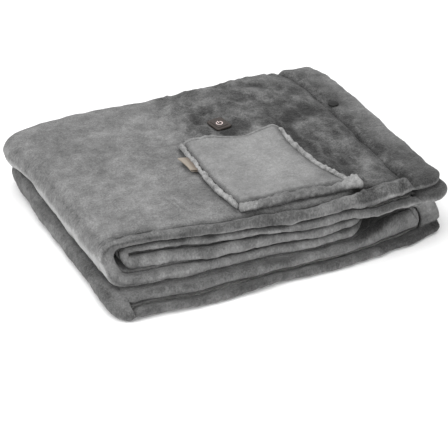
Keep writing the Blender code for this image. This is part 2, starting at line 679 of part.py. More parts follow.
def make_stud_socket(looks, place, low):
    """The socket ring on the underside of half A's hem."""
    ball_room = STUD_BALL_RADIUS + GAP
    profile = [(ball_room, low), (SOCKET_RADIUS, low), (SOCKET_RADIUS, low + SOCKET_THICKNESS),
               (ball_room, low + SOCKET_THICKNESS)]
    turned("snap_socket", profile, looks["stud"], place, SMALL_ROUND_STEPS)


def make_stud_ball(looks, place, top):
    """The stud on half B's hem, its ball standing in the socket."""
    ball_top = top + PLY_GAP + SOCKET_THICKNESS - GAP
    profile = [(0.0, top - STUD_FLANGE_THICKNESS), (SOCKET_RADIUS, top - STUD_FLANGE_THICKNESS),
               (SOCKET_RADIUS, top), (STUD_NECK_RADIUS, top),
               (STUD_BALL_RADIUS, (top + ball_top) / 2), (STUD_TIP_RADIUS, ball_top), (0.0, ball_top)]
    turned("snap_stud", profile, looks["stud"], place, SMALL_ROUND_STEPS)


def make_looks():
    """One material for each kind of surface."""
    return {
        "fleece": material("grey_plush", (0.21, 0.21, 0.21), 0.95),
        "lining": material("grey_plush_lining", (0.19, 0.19, 0.19), 0.95),
        "pocket": material("light_grey_plush", (0.31, 0.31, 0.31), 0.95),
        "felt": material("white_felt", (0.62, 0.62, 0.60), 0.98),
        "carbon": material("carbon_heater", (0.03, 0.03, 0.03), 0.70),
        "lead": material("lead_sheath", (0.02, 0.02, 0.02), 0.55),
        "badge": material("dark_brown_key", (0.055, 0.042, 0.036), 0.50),
        "tray": material("dark_moulding", (0.030, 0.028, 0.027), 0.55),
        "board": material("green_board", (0.020, 0.110, 0.045), 0.45),
        "switch": material("switch_metal", (0.45, 0.45, 0.44), 0.35, 0.8),
        "lens": material("light_guide", (0.90, 0.76, 0.74), 0.30),
        "label": material("tan_woven_label", (0.42, 0.32, 0.23), 0.85),
        "stud": material("dark_stud", (0.070, 0.070, 0.068), 0.45, 0.3),
    }


def main():
    """Build the whole throw."""
    clear_scene()
    looks = make_looks()
    make_sheet(looks)
    make_heater(looks)
    make_leads(looks)
    make_controller(looks)
    make_button(looks)
    make_pocket(looks)
    make_label(looks)
    make_gland(looks)
    make_stud(looks)


main()
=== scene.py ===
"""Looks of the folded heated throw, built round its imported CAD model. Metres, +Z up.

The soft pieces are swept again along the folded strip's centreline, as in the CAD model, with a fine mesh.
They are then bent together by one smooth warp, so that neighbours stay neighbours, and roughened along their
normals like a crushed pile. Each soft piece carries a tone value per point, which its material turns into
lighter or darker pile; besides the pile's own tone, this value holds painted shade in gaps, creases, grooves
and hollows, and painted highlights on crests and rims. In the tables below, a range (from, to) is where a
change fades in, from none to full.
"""

import json
import math

import bmesh
import bpy
import numpy as np
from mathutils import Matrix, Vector, noise


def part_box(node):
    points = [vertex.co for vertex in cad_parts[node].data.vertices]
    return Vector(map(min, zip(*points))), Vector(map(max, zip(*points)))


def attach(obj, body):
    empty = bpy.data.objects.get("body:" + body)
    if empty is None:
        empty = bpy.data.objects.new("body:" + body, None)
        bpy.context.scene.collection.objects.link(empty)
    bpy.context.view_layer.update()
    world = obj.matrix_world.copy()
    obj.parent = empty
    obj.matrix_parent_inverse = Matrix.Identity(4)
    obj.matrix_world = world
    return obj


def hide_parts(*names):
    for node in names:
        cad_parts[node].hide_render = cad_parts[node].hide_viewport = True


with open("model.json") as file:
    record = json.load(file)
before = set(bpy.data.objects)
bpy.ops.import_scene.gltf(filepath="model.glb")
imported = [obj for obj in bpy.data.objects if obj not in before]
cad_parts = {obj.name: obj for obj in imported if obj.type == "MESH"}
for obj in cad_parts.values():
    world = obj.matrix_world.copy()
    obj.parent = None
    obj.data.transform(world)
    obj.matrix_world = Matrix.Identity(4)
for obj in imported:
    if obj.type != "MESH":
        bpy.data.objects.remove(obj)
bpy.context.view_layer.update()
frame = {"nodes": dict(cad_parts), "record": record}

# The stack, read from the frame.
FACE_LOW, FACE_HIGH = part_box("face_fleece")
END_HEM_LOW, END_HEM_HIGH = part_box("snap_end_hem")
FAR_HEM_LOW, FAR_HEM_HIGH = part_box("far_end_hem")
STACK = FACE_HIGH.z
PLIES = 6
PLY_GAP = 0.0006
PLY = (STACK - (PLIES - 1) * PLY_GAP) / PLIES
PITCH = PLY + PLY_GAP
HALF_PLY = PLY / 2
FOLD_REACH = PITCH - PLY_GAP / 2
TURN_REACH = 2 * PITCH - PLY_GAP / 2
FRONT_Y = -END_HEM_HIGH.y
BACK_Y = FACE_HIGH.y
BACK_FOLD_Y = BACK_Y - FOLD_REACH
LEFT_X = FAR_HEM_LOW.x
RIGHT_X = END_HEM_HIGH.x

# The folded centreline, from the hemmed short ends (distance 0) to the far ones.
TOP_LEVEL_Z = STACK - FOLD_REACH
LEFT_TURN_X = FACE_LOW.x + TURN_REACH
LEFT_TURN_Z = TOP_LEVEL_Z - PITCH
RIGHT_TURN_X = FACE_HIGH.x - TURN_REACH
RIGHT_TURN_Z = TOP_LEVEL_Z - 3 * PITCH
TURN_LENGTH = math.pi * PITCH
LEFT_TURN_S = RIGHT_X - LEFT_TURN_X
LEVEL_2_S = LEFT_TURN_S + TURN_LENGTH
RIGHT_TURN_S = LEVEL_2_S + RIGHT_TURN_X - LEFT_TURN_X
LEVEL_3_S = RIGHT_TURN_S + TURN_LENGTH
STRIP_LENGTH = LEVEL_3_S + RIGHT_TURN_X - LEFT_X
END_HEM = END_HEM_HIGH.x - END_HEM_LOW.x
FAR_HEM = FAR_HEM_HIGH.x - FAR_HEM_LOW.x

# How far each front edge is set back, as the throw was folded a little askew.
UPPER_SETBACK = 0.020
UPPER_SETBACK_RISE = 0.030
LOW_SKEW = 0.10
HIGH_SKEW = 0.235
SKEW_START_X = 0.058
SKEW_BLEND = 0.030

# Layers of one ply and its hems.
CORE_HALF = 0.0016
LONG_HEM = 0.0135
SECOND_HEM = 1.11 * LONG_HEM
HEM_NOSE = 0.0075
SEAM_GAP = 0.0002
SEAM_DIP = 0.0040
SEAM_DIP_WIDTH = 0.0060
END_CORNER = 0.024
END_ROUNDING = 0.010
END_NOSE = 0.25

# The top front hem grows to a fat roll towards the right: its width, crown and seam's depth over x.
TOP_HEM_WIDTH = ((-0.240, 0.0085), (-0.165, 0.0110), (-0.120, 0.0150), (0.080, 0.0170), (0.125, 0.0240),
                 (0.200, 0.0230))
TOP_HEM_CROWN = ((-0.240, 0.0004), (-0.120, 0.0012), (0.000, 0.0028), (0.120, 0.0070), (0.180, 0.0070),
                 (0.190, 0.003))
TOP_HEM_DIP = ((-0.240, 0.0002), (-0.165, 0.0004), (-0.130, 0.0022), (0.020, 0.0030), (0.120, 0.0044))

# The groove round the rim of the left turn, also painted in shade with a painted highlight above it: its
# depth, its place and spread in the hem's height, its reach.
RIM_GROOVE = 0.0020
RIM_HEIGHT = 0.30
RIM_SPREAD = 0.20
RIM_REACH = 0.075

# How the loosely stacked throw departs from a straight block, over x or y.
BACK_BOW = ((-0.240, -0.009), (-0.165, 0.0), (-0.110, 0.0), (-0.030, -0.007), (0.150, -0.009),
            (0.200, -0.014), (0.236, -0.022))
LEFT_TAPER = ((-0.200, 0.013), (-0.120, 0.010), (0.000, 0.006), (0.100, 0.002), (0.150, 0.001),
              (0.195, 0.004))
RIGHT_TAPER = ((-0.200, 0.012), (-0.060, 0.012), (0.010, 0.006), (0.070, 0.001), (0.140, 0.002),
               (0.195, 0.010))
FRONT_EASE = ((-0.200, 0.0), (-0.140, -0.003), (-0.020, 0.0), (0.120, 0.002), (0.165, 0.005),
              (0.225, 0.012))
NEAR_FRONT = (-0.06, -0.15)
NEAR_BACK = (0.08, 0.20)
LEFT_END = (-0.08, -0.20)

# The warp's noise: how far it moves a point, and the size of its lumps.
HEIGHT_WAVE = (0.0030, 0.052)
EDGE_WAVE = (0.0030, 0.040)
BACK_WAVE = (0.0022, 0.080)
END_WAVE = (0.0020, 0.060)

# The warp's further lifts, slides to the back and shifts to the right.
LEFT_GAP_LIFT = 0.0034
BACK_LEFT_LIFT = 0.010
LOWER_LEFT_SLIDE = 0.006
SECOND_PLY_SLIDE = 0.008
CREASE_SLIDE = 0.006
HOLLOW_SLIDE = 0.004
BACK_LEFT_BULGE = 0.011
LEFT_TUCK = 0.008
LEFT_HOLLOW = 0.006
RIGHT_TUCK = 0.018
CREASE_SHIFT = 0.003
PILLOW_SLIDE = 0.028
PILLOW_LIFT = 0.019

# The top ply's dents (minus) and swells: their height, place, and size in x and y.
STUD_PLACE = tuple((sum(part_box("snap_cap"), Vector()) / 2).xy)
TOP_DENTS = (
    (0.0024, (0.214, 0.180), (0.026, 0.022)),
    (-0.0034, (0.178, 0.176), (0.014, 0.030)),
    (-0.0040, (0.186, -0.140), (0.012, 0.022)),
)
POCKET_VALLEY = 0.0030
CRUMPLE_HEIGHT = 0.0015
STUD_DIMPLE = 0.0022
STUD_DIMPLE_SIZE = (0.009, 0.009)
BADGE_LOW, BADGE_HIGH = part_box("badge_frame")
BADGE_DIMPLE = 0.0022
CALM_RANGE = (0.010, 0.030)

# The pocket, in shares of its width and length and in metres.
BAR_END = 0.002
BACK_RIGHT_TUCK = np.array((-0.0070, -0.0050))
FRONT_RIGHT_TUCK = np.array((-0.0050, 0.0010))
LEFT_SEAM_BOW = 0.0055
RIGHT_SEAM_BOW = 0.0130
MOUTH_WAVE = ((0.0, -0.004), (0.08, 0.003), (0.30, 0.003), (0.62, -0.009), (0.84, -0.001), (0.95, 0.004),
              (1.0, 0.0))
MOUTH_HEM = 0.036
POCKET_LIE = 0.0010
PANEL_SIDE = 0.030
PANEL_FRONT = 0.046
PANEL_THICK = 0.0022
PANEL_CROWN = 0.0040
PIPING = 0.0037
SEAM_START = 0.012
FRONT_TUBE = (0.0078, 0.0052)
FRONT_SHIFT = ((0.0, 0.0), (0.4, 0.002), (1.0, 0.007))
TUBE_SWAY = 0.0012
TUFT = 0.35

# The mouth hem's swells and dip: their height, and their middle and reach in shares of the pocket.
MOUTH_SWELLS = (
    (0.0032, (0.93, 0.0), (0.10, 0.16)),
    (0.0016, (0.22, 0.0), (0.16, 0.12)),
    (-0.0016, (0.62, 0.0), (0.14, 0.10)),
)

# The label: its shift in x and y, its ribbon's half gap and thickness, its lift, tilt, twist and waves.
LABEL_SHIFT = (0.0038, 0.0125)
LABEL_LIE = 0.0009
LABEL_THICK = 0.0005
LABEL_LIFT = 0.0034
LABEL_TILT = 0.0030
LABEL_TWIST = 0.0026
LABEL_WAVE = 0.0010

# The soft inner pieces, which bend with the layers round them.
INNER_SLOTS = ("felt", "heater", "lead", "sensor")
INNER_EDGE = 0.012
INNER_CUTS = 5

# Mesh steps.
FINE = 0.0030
COARSE = 0.0070
LOOSE = 0.016
FOLD_STEPS = 14
TURN_STEPS = 30

# Tones: what the pile shows from nap 0 to nap 1, as display values, and how brightly the studio lights it.
DARKEST = 40
LIGHTEST = 210
TOP_LIGHT = 1.80
PILE_STOPS = 6
PILE_TINT = (1.0, 1.0, 0.995)

# Spots of the top where brushed pile shows darker (plus) or lighter, with painted shadow below the badge and
# painted shade in the valley beside the pocket's right seam: how much, where, size in x and y.
TOP_SPOTS = (
    (0.20, (0.124, -0.105), (0.013, 0.022)),
    (0.14, (0.217, -0.168), (0.020, 0.024)),
    (-0.16, (0.160, -0.113), (0.010, 0.018)),
    (-0.14, STUD_PLACE, (0.020, 0.020)),
    (0.14, (0.002, 0.085), (0.014, 0.030)),
    # painted shadow below the badge
    (0.90, (0.032, 0.049), (0.011, 0.012)),
    # painted shade in the valley beside the pocket's right seam, here and in the next line
    (0.14, (0.105, 0.062), (0.010, 0.050)),
    (0.12, (0.125, -0.060), (0.020, 0.045)),
    (-0.10, (0.160, -0.055), (0.010, 0.040)),
    (-0.08, (0.070, 0.100), (0.020, 0.018)),
    (-0.06, (0.185, -0.105), (0.020, 0.020)),
)

# Areas of the top that show darker (plus) or lighter: how much, and their ranges in x and y.
EVERYWHERE = (-1.0, -0.9)
TOP_AREAS = (
    (0.30, (0.080, 0.115), (0.11, 0.02)),
    (0.31, (-0.045, 0.010), (0.020, 0.060)),
    (-0.05, (-0.06, -0.12), (0.05, -0.03)),
    (-0.04, (0.185, 0.215), EVERYWHERE),
)
STUD_HEM_EVENNESS = 0.7

# Two short creases left of the pocket, drawn as a line of painted shade with a painted highlight beside it:
# their middle, their lean and how far they reach.
CREASES = (((-0.117, -0.068), -0.11, 0.018), ((-0.109, -0.078), -0.20, 0.022))

# Painted highlights along the crests of the top front hem: how much, how far from the edge, their width and
# two ranges in x.
HEM_CREST_HIGHLIGHTS = (
    (0.03, 0.0110, 0.0060, (0.09, 0.12), (0.19, 0.18)),
    (0.10, 0.0125, 0.0045, (-0.175, -0.150), (0.02, -0.06)),
)

# How much the throw's pile lightens or darkens in tone: base, strokes, crumples, painted highlights, painted
# shade.
THROW_NAP = 0.60
STROKES = 0.19
CRUMPLES = 0.14
GROOVE_SHADE = 0.22
END_RIM_HIGHLIGHT = 0.05
TURN_HIGHLIGHT = 0.42
TURN_DARK = 0.07
NOSE_HIGHLIGHT = 0.05
GAP_SHADE_ABOVE = 0.15
GAP_SHADE_BELOW = 0.07
TOP_NOSE_SHADE = 0.19
RIM_HIGHLIGHT = 0.02
SIDE_SHADE = 0.09
LOWER_SHADE = 0.05
BOTTOM_SHADE = 0.09
SECOND_TOP_SHADE = 0.26
HEM_UNDERSIDE_SHADE = 0.17
PILLOW_SHADE = 0.05
CREASE_SHADE = 0.24
BOTTOM_RIGHT_SHADE = 0.22
HOLLOW_SHADE = 0.44
RIGHT_TURN_LIGHT = 0.08

# The pocket's pile: the panel's and the seams' tone, the painted shade where it dips to a seam, and the
# tufts' clumps.
PANEL_NAP = 0.73
SEAM_NAP = 0.84
FRONT_HEM_NAP = 0.76
EDGE_SHADE = 0.30
POCKET_SPOTS = (
    (0.16, (0.108, -0.150), (0.012, 0.014)),
    (-0.13, (0.085, -0.118), (0.030, 0.014)),
)

# Finishes of the pieces whose CAD shape stays: roughness, metallic, grain per metre, tone spread, bump depth.
FINISHES = {
    "felt": (0.95, 0.0, 700.0, 0.25, 0.0006),
    "heater": (0.60, 0.0, 350.0, 0.45, 0.0002),
    "lead": (0.50, 0.0, 300.0, 0.30, 0.0002),
    "sensor": (0.40, 0.0, 500.0, 0.25, 0.0002),
    "board": (0.35, 0.0, 900.0, 0.30, 0.0001),
    "switch": (0.35, 1.0, 1500.0, 0.20, 0.0001),
    "light_guide": (0.45, 0.0, 900.0, 0.08, 0.0001),
    "moulding": (0.55, 0.0, 1400.0, 0.25, 0.0002),
    "badge": (0.62, 0.0, 1300.0, 0.28, 0.0005),
    "stud": (0.45, 0.0, 800.0, 0.25, 0.0002),
}

# The label's tan, from its darkest, where painted shadow falls on it, to its lightest: position and colour.
LABEL_STOPS = [(0.15, (0.085, 0.062, 0.048)), (0.6, (0.19, 0.155, 0.125)), (1.0, (0.31, 0.27, 0.225))]

# Slots that show deeper than the record's colour under this light.
DEEP_TONES = {"stud": 0.15, "badge": 0.70, "light_guide": 0.75}

# Camera.
CAMERA_AZIMUTH = math.radians(-26.9)
CAMERA_ELEVATION = math.radians(34.2)
CAMERA_DISTANCE = 1.55
CAMERA_TARGET = Vector((-0.0224, -0.0426, 0.0))
CAMERA_LENS = 94.6

# Studio: the world's strength, and each lamp's name, power, size and place.
WORLD_LIGHT = 0.70
LAMPS = (
    ("overhead", 59.5, 3.2, (-0.5, 0.5, 2.4)),
    ("left", 6.0, 1.2, (-2.0, -0.1, 1.0)),
    ("front", 16.0, 1.6, (-0.5, -2.0, 0.7)),
)


# Small helpers.


def smooth(low, high, value):
    """0 below low, 1 above high, and an even blend between."""
    share = np.clip((value - low) / (high - low), 0, 1)
    return share * share * (3 - 2 * share)


def bump_at(value, centre, width):
    """1 at the centre, falling to 0 over about that width on each side."""
    return np.exp(-((value - centre) / width) ** 2)


def cloud(points, size, seed=0.0):
    """Smooth noise from about -1 to 1 at each point, in lumps of about that size."""
    lumps = np.asarray(points, float) / np.asarray(size, float) + seed * np.array((17.3, 9.1, 5.7))
    return np.array([noise.noise(p) for p in lumps.tolist()])


def steps(start, end, step):
    """Even distances from start to end, about a step apart."""
    count = max(2, int(math.ceil(abs(end - start) / step)) + 1)
    return np.linspace(start, end, count)


def curve(value, points):
    """A smooth curve through a few (value, result) points, level beyond its ends."""
    at = np.array([p[0] for p in points])
    result = np.array([p[1] for p in points])
    value = np.clip(value, at[0], at[-1])
    i = np.clip(np.searchsorted(at, value) - 1, 0, len(at) - 2)
    share = (value - at[i]) / (at[i + 1] - at[i])
    return result[i] + (result[i + 1] - result[i]) * share * share * (3 - 2 * share)


def spot(x, y, place, size):
    """1 at a place, falling to 0 over about that size in x and y."""
    return np.exp(-((x - place[0]) / size[0]) ** 2 - ((y - place[1]) / size[1]) ** 2)


def spots(x, y, table):
    """The sum of a table's spots, each an amount, a place and a size."""
    return sum(amount * spot(x, y, place, size) for amount, place, size in table)


def on_plan(x, y):
    """Points at x and y on the ground plane, one a row."""
    return np.stack([x, y, 0 * x], axis=-1).reshape(-1, 3)


def wave(x, y, z, amount_and_size, seed):
    """Smooth noise at x, y and z, in their own shape: how far it moves a point, and the size of its lumps."""
    amount, size = amount_and_size
    return amount * cloud(np.stack([x, y, z], axis=-1).reshape(-1, 3), size, seed).reshape(x.shape)


# The folded strip.


def centreline(s):
    """The centreline's x, z and unit normal x, z at distances s from the hemmed short ends."""
    s = np.asarray(s, float)
    left = math.pi / 2 + (s - LEFT_TURN_S) / PITCH
    right = math.pi / 2 - (s - RIGHT_TURN_S) / PITCH
    flat = np.ones_like(s)
    runs = [s <= LEFT_TURN_S, s <= LEVEL_2_S, s <= RIGHT_TURN_S, s <= LEVEL_3_S]
    x = np.select(runs, [RIGHT_X - s, LEFT_TURN_X + PITCH * np.cos(left), LEFT_TURN_X + s - LEVEL_2_S,
                         RIGHT_TURN_X + PITCH * np.cos(right)], RIGHT_TURN_X - (s - LEVEL_3_S))
    z = np.select(runs, [TOP_LEVEL_Z * flat, LEFT_TURN_Z + PITCH * np.sin(left),
                         (TOP_LEVEL_Z - 2 * PITCH) * flat, RIGHT_TURN_Z + PITCH * np.sin(right)],
                  TOP_LEVEL_Z - 4 * PITCH)
    normal_x = np.select(runs, [0 * flat, np.cos(left), 0 * flat, -np.cos(right)], 0 * flat)
    normal_z = np.select(runs, [flat, np.sin(left), -flat, -np.sin(right)], flat)
    return x, z, normal_x, normal_z


def front_line(x, z):
    """Where a ply's front edge lies in y, for the ply at height z."""
    share = np.clip((z - HALF_PLY) / UPPER_SETBACK_RISE, 0, 1)
    setback = UPPER_SETBACK * share * share * (3 - 2 * share)
    to_left = SKEW_START_X - x
    reach = (to_left + np.hypot(to_left, SKEW_BLEND)) / 2
    return FRONT_Y + setback + (LOW_SKEW + (HIGH_SKEW - LOW_SKEW) * z / STACK) * reach


def front_edge(s, side):
    """The front edge of half A (side 1) or half B (side -1) at distances s."""
    x, z, normal_x, normal_z = centreline(s)
    return front_line(x + side * PITCH / 2 * normal_x, z + side * PITCH / 2 * normal_z)


def stations(start, end, fine_runs):
    """Distances from start to end: round turns closely, and along each run as finely as fine_runs says."""
    bounds = [0, LEFT_TURN_S, LEVEL_2_S, RIGHT_TURN_S, LEVEL_3_S, STRIP_LENGTH]
    marks = [start, end]
    for i, step in enumerate((fine_runs[0], TURN_LENGTH / TURN_STEPS, fine_runs[1],
                              TURN_LENGTH / TURN_STEPS, fine_runs[2])):
        low, high = max(start, bounds[i]), min(end, bounds[i + 1])
        if high > low:
            marks += list(steps(low, high, step))
    return np.unique(np.round(marks, 6))


def set_across(s, y, offset):
    """Points at distances s along the strip (one a row), at y and offset from the centreline."""
    x, z, normal_x, normal_z = (value[:, None] for value in centreline(s))
    return np.stack([x + offset * normal_x, y + 0 * x, z + offset * normal_z], axis=-1)


# The shared warp: soft, uneven, but the same for every soft piece.


def calm(x, y):
    """0 at the badge and the press stud, whose hard pieces stay flat on the top ply, and 1 away from them."""
    still = np.ones_like(x)
    for node in ("badge_frame", "snap_cap"):
        low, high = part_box(node)
        centre = (low + high) / 2
        still = np.minimum(still, smooth(*CALM_RANGE, np.hypot(x - centre.x, y - centre.y)))
    return still


def top_relief(x, y):
    """How far the top ply lies above or below its plain level."""
    flat = on_plan(x, y)
    busy = smooth(-0.05, 0.10, x)
    relief = 0.0014 * cloud(flat, 0.085, 1) + (0.0009 + 0.0014 * busy) * cloud(flat, 0.034, 2)
    relief += CRUMPLE_HEIGHT * crumpled(x, y) * crumples(x, y) + spots(x, y, TOP_DENTS)
    relief -= POCKET_VALLEY * bump_at(x, 0.150, 0.026) * smooth(0.03, -0.05, y) * smooth(-0.18, -0.13, y)
    relief -= 0.0030 * smooth(0.150, 0.200, y) + 0.0020 * smooth(-0.17, -0.23, x)
    dimples = STUD_DIMPLE * spot(x, y, STUD_PLACE, STUD_DIMPLE_SIZE) + BADGE_DIMPLE * under_badge(x, y)
    return relief * calm(x, y) - dimples


def under_badge(x, y):
    """1 under the badge, where the pile is pressed flat, falling to 0 at its edges."""
    centre, half = (BADGE_LOW + BADGE_HIGH) / 2, (BADGE_HIGH - BADGE_LOW) / 2
    out = np.maximum(np.abs(x - centre.x) / half.x, np.abs(y - centre.y) / half.y)
    return smooth(1.15, 0.80, out)


def crumpled(x, y):
    """1 where the top ply lies crumpled, behind and right of the pocket, and 0 elsewhere."""
    behind = smooth(-0.05, 0.00, x) * smooth(0.015, 0.045, y)
    return np.clip(behind + smooth(0.08, 0.12, x), 0, 1) * smooth(0.212, 0.200, x)


def crumples(x, y):
    """Sharp little ridges, from -0.5 between them to 1 on them."""
    flat = on_plan(x, y)
    bent = flat + 0.010 * cloud(flat, 0.032, 18)[:, None]
    return np.clip(1 - 3.2 * np.abs(cloud(bent, (0.019, 0.036, 1.0), 19)), -0.5, 1)


def between(z, low, high):
    """1 for the plies between two gaps, 0 for the others."""
    return smooth(low - PLY_GAP, low, z) * smooth(high, high - PLY_GAP, z)


def right_crease(x, z):
    """1 in the crease low on the right turn, between it and the bottom ply."""
    return bump_at(z, PITCH, 0.0035) * smooth(RIGHT_TURN_X, RIGHT_TURN_X + PITCH, x)


def pillow(x, y, z):
    """The slide and the lift where the fifth ply swells up in front of the third and fourth, at the right."""
    along = smooth(0.085, 0.150, x) * smooth(0.213, 0.195, x)
    middle, top = 2 * PITCH - PLY_GAP / 2, 4 * PITCH - PLY_GAP / 2
    above = smooth(middle - PLY_GAP / 2, middle + PLY_GAP / 2, z) * smooth(top + 0.0003, top - 0.0003, z)
    tent = np.clip(np.minimum((z - PITCH) / (middle - PITCH), (top - z) / (top - middle)), 0, 1)
    return (PILLOW_SLIDE * along * above * smooth(-0.10, -0.16, y),
            PILLOW_LIFT * along * tent * smooth(-0.140, -0.168, y))


def lift_of(x, y, z):
    """How far the warp raises each point: uneven heights, and slack at the left."""
    share = np.clip(z / STACK, 0, 1.3)
    near_front = smooth(*NEAR_FRONT, y)
    lift = share * top_relief(x.ravel(), y.ravel()).reshape(x.shape)
    lift += wave(x, 0 * y, z * 2.2, HEIGHT_WAVE, 3) * np.clip(4 * share * (1 - share), 0, 1) * near_front
    lift += LEFT_GAP_LIFT * bump_at(z, 4 * PITCH, 0.009) * smooth(0.03, -0.04, x) * near_front
    back_left = bump_at(z, 2 * PITCH, 0.022) * smooth(-0.14, -0.21, x) * smooth(0.02, 0.12, y)
    return lift + BACK_LEFT_LIFT * back_left


def slide_of(x, y, z, second, inner):
    """How far the warp moves each point back: wavy front edges, and a soft, bowed back fold."""
    slide = curve(x, FRONT_EASE) * (1 - 0.45 * smooth(3 * PITCH, 5 * PITCH, z)) * (1 - second)
    slide -= LOWER_LEFT_SLIDE * smooth(-0.04, -0.14, x) * smooth(4.4 * PITCH, 3 * PITCH, z)
    slide -= SECOND_PLY_SLIDE * smooth(0.07, 0.14, x) * second
    slide += wave(x, 0 * y, z * 2.2, EDGE_WAVE, 4) + CREASE_SLIDE * right_crease(x, z) + HOLLOW_SLIDE * inner
    at_back = wave(x, 0 * y, z * 2.2, BACK_WAVE, 6) + curve(x, BACK_BOW)
    return smooth(*NEAR_FRONT, y) * slide + smooth(*NEAR_BACK, y) * at_back


def shift_of(x, y, z, second, inner, left_depth):
    """How far the warp moves each point to the right: tapered ends, and turns that are tucked in."""
    bulge = BACK_LEFT_BULGE * bump_at(y, 0.172, 0.045) * smooth(0.020, 0.042, z)
    shift = wave(0 * x, y, z * 2.0, END_WAVE, 5) * smooth(0.10, 0.22, np.abs(x))
    shift += (curve(y, LEFT_TAPER) - bulge) * smooth(-0.05, -0.20, x)
    shift -= curve(y, RIGHT_TAPER) * smooth(0.06, 0.22, x) * (1 - 0.30 * second)
    shift += LEFT_TUCK * smooth(TURN_REACH - 0.002, PITCH, left_depth) * smooth(*LEFT_END, x)
    right_depth = np.hypot(np.maximum(x - RIGHT_TURN_X, 0), z - RIGHT_TURN_Z)
    shift -= RIGHT_TUCK * smooth(TURN_REACH - 0.002, PITCH, right_depth) * smooth(0.08, 0.20, x)
    low_right = smooth(0.10, 0.20, x) * smooth(-0.10, -0.17, y)
    shift += low_right * (0.005 * smooth(3.2 * PITCH, 2.8 * PITCH, z) + 0.004 * smooth(1.5 * PITCH, PITCH, z))
    return shift + LEFT_HOLLOW * inner - CREASE_SHIFT * right_crease(x, z)


def warp(points):
    """Bend reference points, each by its lift, its slide to the back and its shift to the right."""
    x, y, z = points[..., 0], points[..., 1], points[..., 2]
    second = between(z, 4 * PITCH, 5 * PITCH) * smooth(0.02, -0.08, y)
    left_depth = np.hypot(np.minimum(x - LEFT_TURN_X, 0), z - LEFT_TURN_Z)
    inner = smooth(PITCH + PLY_GAP / 2, PITCH - PLY_GAP / 2, left_depth) * smooth(0.02, -0.08, y)
    inner = inner * smooth(*LEFT_END, x)
    pillow_slide, pillow_lift = pillow(x, y, z)
    return np.stack([x + shift_of(x, y, z, second, inner, left_depth),
                     y + slide_of(x, y, z, second, inner) + pillow_slide,
                     np.maximum(z + lift_of(x, y, z) + pillow_lift, 0)], axis=-1)


# Mesh building.


def mesh_of(name, points, faces):
    """A smooth-shaded mesh object."""
    mesh = bpy.data.meshes.new(name)
    mesh.from_pydata(points.tolist(), [], faces)
    mesh.shade_smooth()
    made = bpy.data.objects.new(name, mesh)
    bpy.context.scene.collection.objects.link(made)
    return made


def loft_faces(rows, count):
    """Quads through closed rings of equally many points, with a cap at each end."""
    i, j = np.meshgrid(np.arange(rows - 1), np.arange(count), indexing="ij")
    k = (j + 1) % count
    quads = np.stack([i * count + j, i * count + k, (i + 1) * count + k, (i + 1) * count + j], axis=-1)
    last = (rows - 1) * count
    return quads.reshape(-1, 4).tolist() + [list(range(count))[::-1], [last + n for n in range(count)]]


def read(items, key):
    """A vector of each item of a mesh, one a row."""
    found = np.zeros(len(items) * 3, np.float32)
    items.foreach_get(key, found)
    return found.reshape(-1, 3).astype(float)


def face_outwards(obj):
    """Turn a closed mesh inside out if its volume is negative."""
    mesh = obj.data
    mesh.calc_loop_triangles()
    corners = np.zeros(len(mesh.loop_triangles) * 3, np.int32)
    mesh.loop_triangles.foreach_get("vertices", corners)
    points = read(mesh.vertices, "co")[corners].reshape(-1, 3, 3)
    if np.einsum("ij,ij->i", points[:, 0], np.cross(points[:, 1], points[:, 2])).sum() < 0:
        mesh.flip_normals()


def set_positions(obj, points):
    """Move the mesh's points."""
    obj.data.vertices.foreach_set("co", np.asarray(points, np.float32).ravel())
    obj.data.update()


def set_tone(obj, nap_and_painted_light, crush):
    """Store the pile's tone, painted shade and highlights included, at each point, from 0, dark, to 1, light,
    and how strongly it is crushed.
    """
    for name, values in (("nap_and_painted_light", nap_and_painted_light), ("crush", crush)):
        attribute = obj.data.attributes.new(name, "FLOAT", "POINT")
        attribute.data.foreach_set("value", np.clip(values, 0, 1.5).astype(np.float32))


def exposure(points):
    """How free each reference point is to swell: 1 on the stack's outside, less between the plies."""
    x, y, z = points.T
    free = smooth(STACK - 0.0030, STACK - 0.0006, z)
    for turn_x, turn_z, way in ((LEFT_TURN_X, LEFT_TURN_Z, 1), (RIGHT_TURN_X, RIGHT_TURN_Z, -1)):
        outside = smooth(TURN_REACH - 0.003, TURN_REACH - 0.001, np.hypot(x - turn_x, z - turn_z))
        free = np.maximum(free, outside * (way * (x - turn_x) < 0.002))
    free = np.maximum(free, 0.7 * smooth(0.3, 0.9, (y - BACK_FOLD_Y) / FOLD_REACH))
    free = np.maximum(free, 0.9 * smooth(0.012, 0.004, y - front_line(x, z)))
    return free * (1 - under_badge(x, y))


def ruffle(obj, reference, free, rough=1.0):
    """Roughen a warped mesh along its normals: soft dents, then tufts of pile, most where it is free."""
    dents = 0.0012 * cloud(reference, 0.024, 7) * free
    tufts = 0.00065 * cloud(reference, 0.0100, 8) * (0.35 + 0.65 * free)
    fuzz = 0.00042 * cloud(reference, 0.0055, 9) * (0.35 + 0.65 * free)
    swell = rough * (dents + tufts + fuzz) - 0.0003 * (1 - free)
    moved = read(obj.data.vertices, "co") + read(obj.data.vertex_normals, "vector") * swell[:, None]
    moved[:, 2] = np.maximum(moved[:, 2], 0)
    set_positions(obj, moved)


def lofted(name, points, reference, free, rough=1.0):
    """A closed lofted piece through rings of points, ruffled, and its reference points."""
    made = mesh_of(name, points.reshape(-1, 3), loft_faces(*reference.shape[:2]))
    face_outwards(made)
    flat = reference.reshape(-1, 3)
    if free is None:
        free = exposure(flat)
    ruffle(made, flat, free, rough)
    return made, flat


def soft_sweep(name, s, outline_y, outline_offset, rough=1.0):
    """A soft piece of the strip: rings at distances s, warped and ruffled."""
    reference = set_across(s, outline_y, outline_offset)
    return lofted(name, warp(reference), reference, None, rough)


# The throw's own pieces.


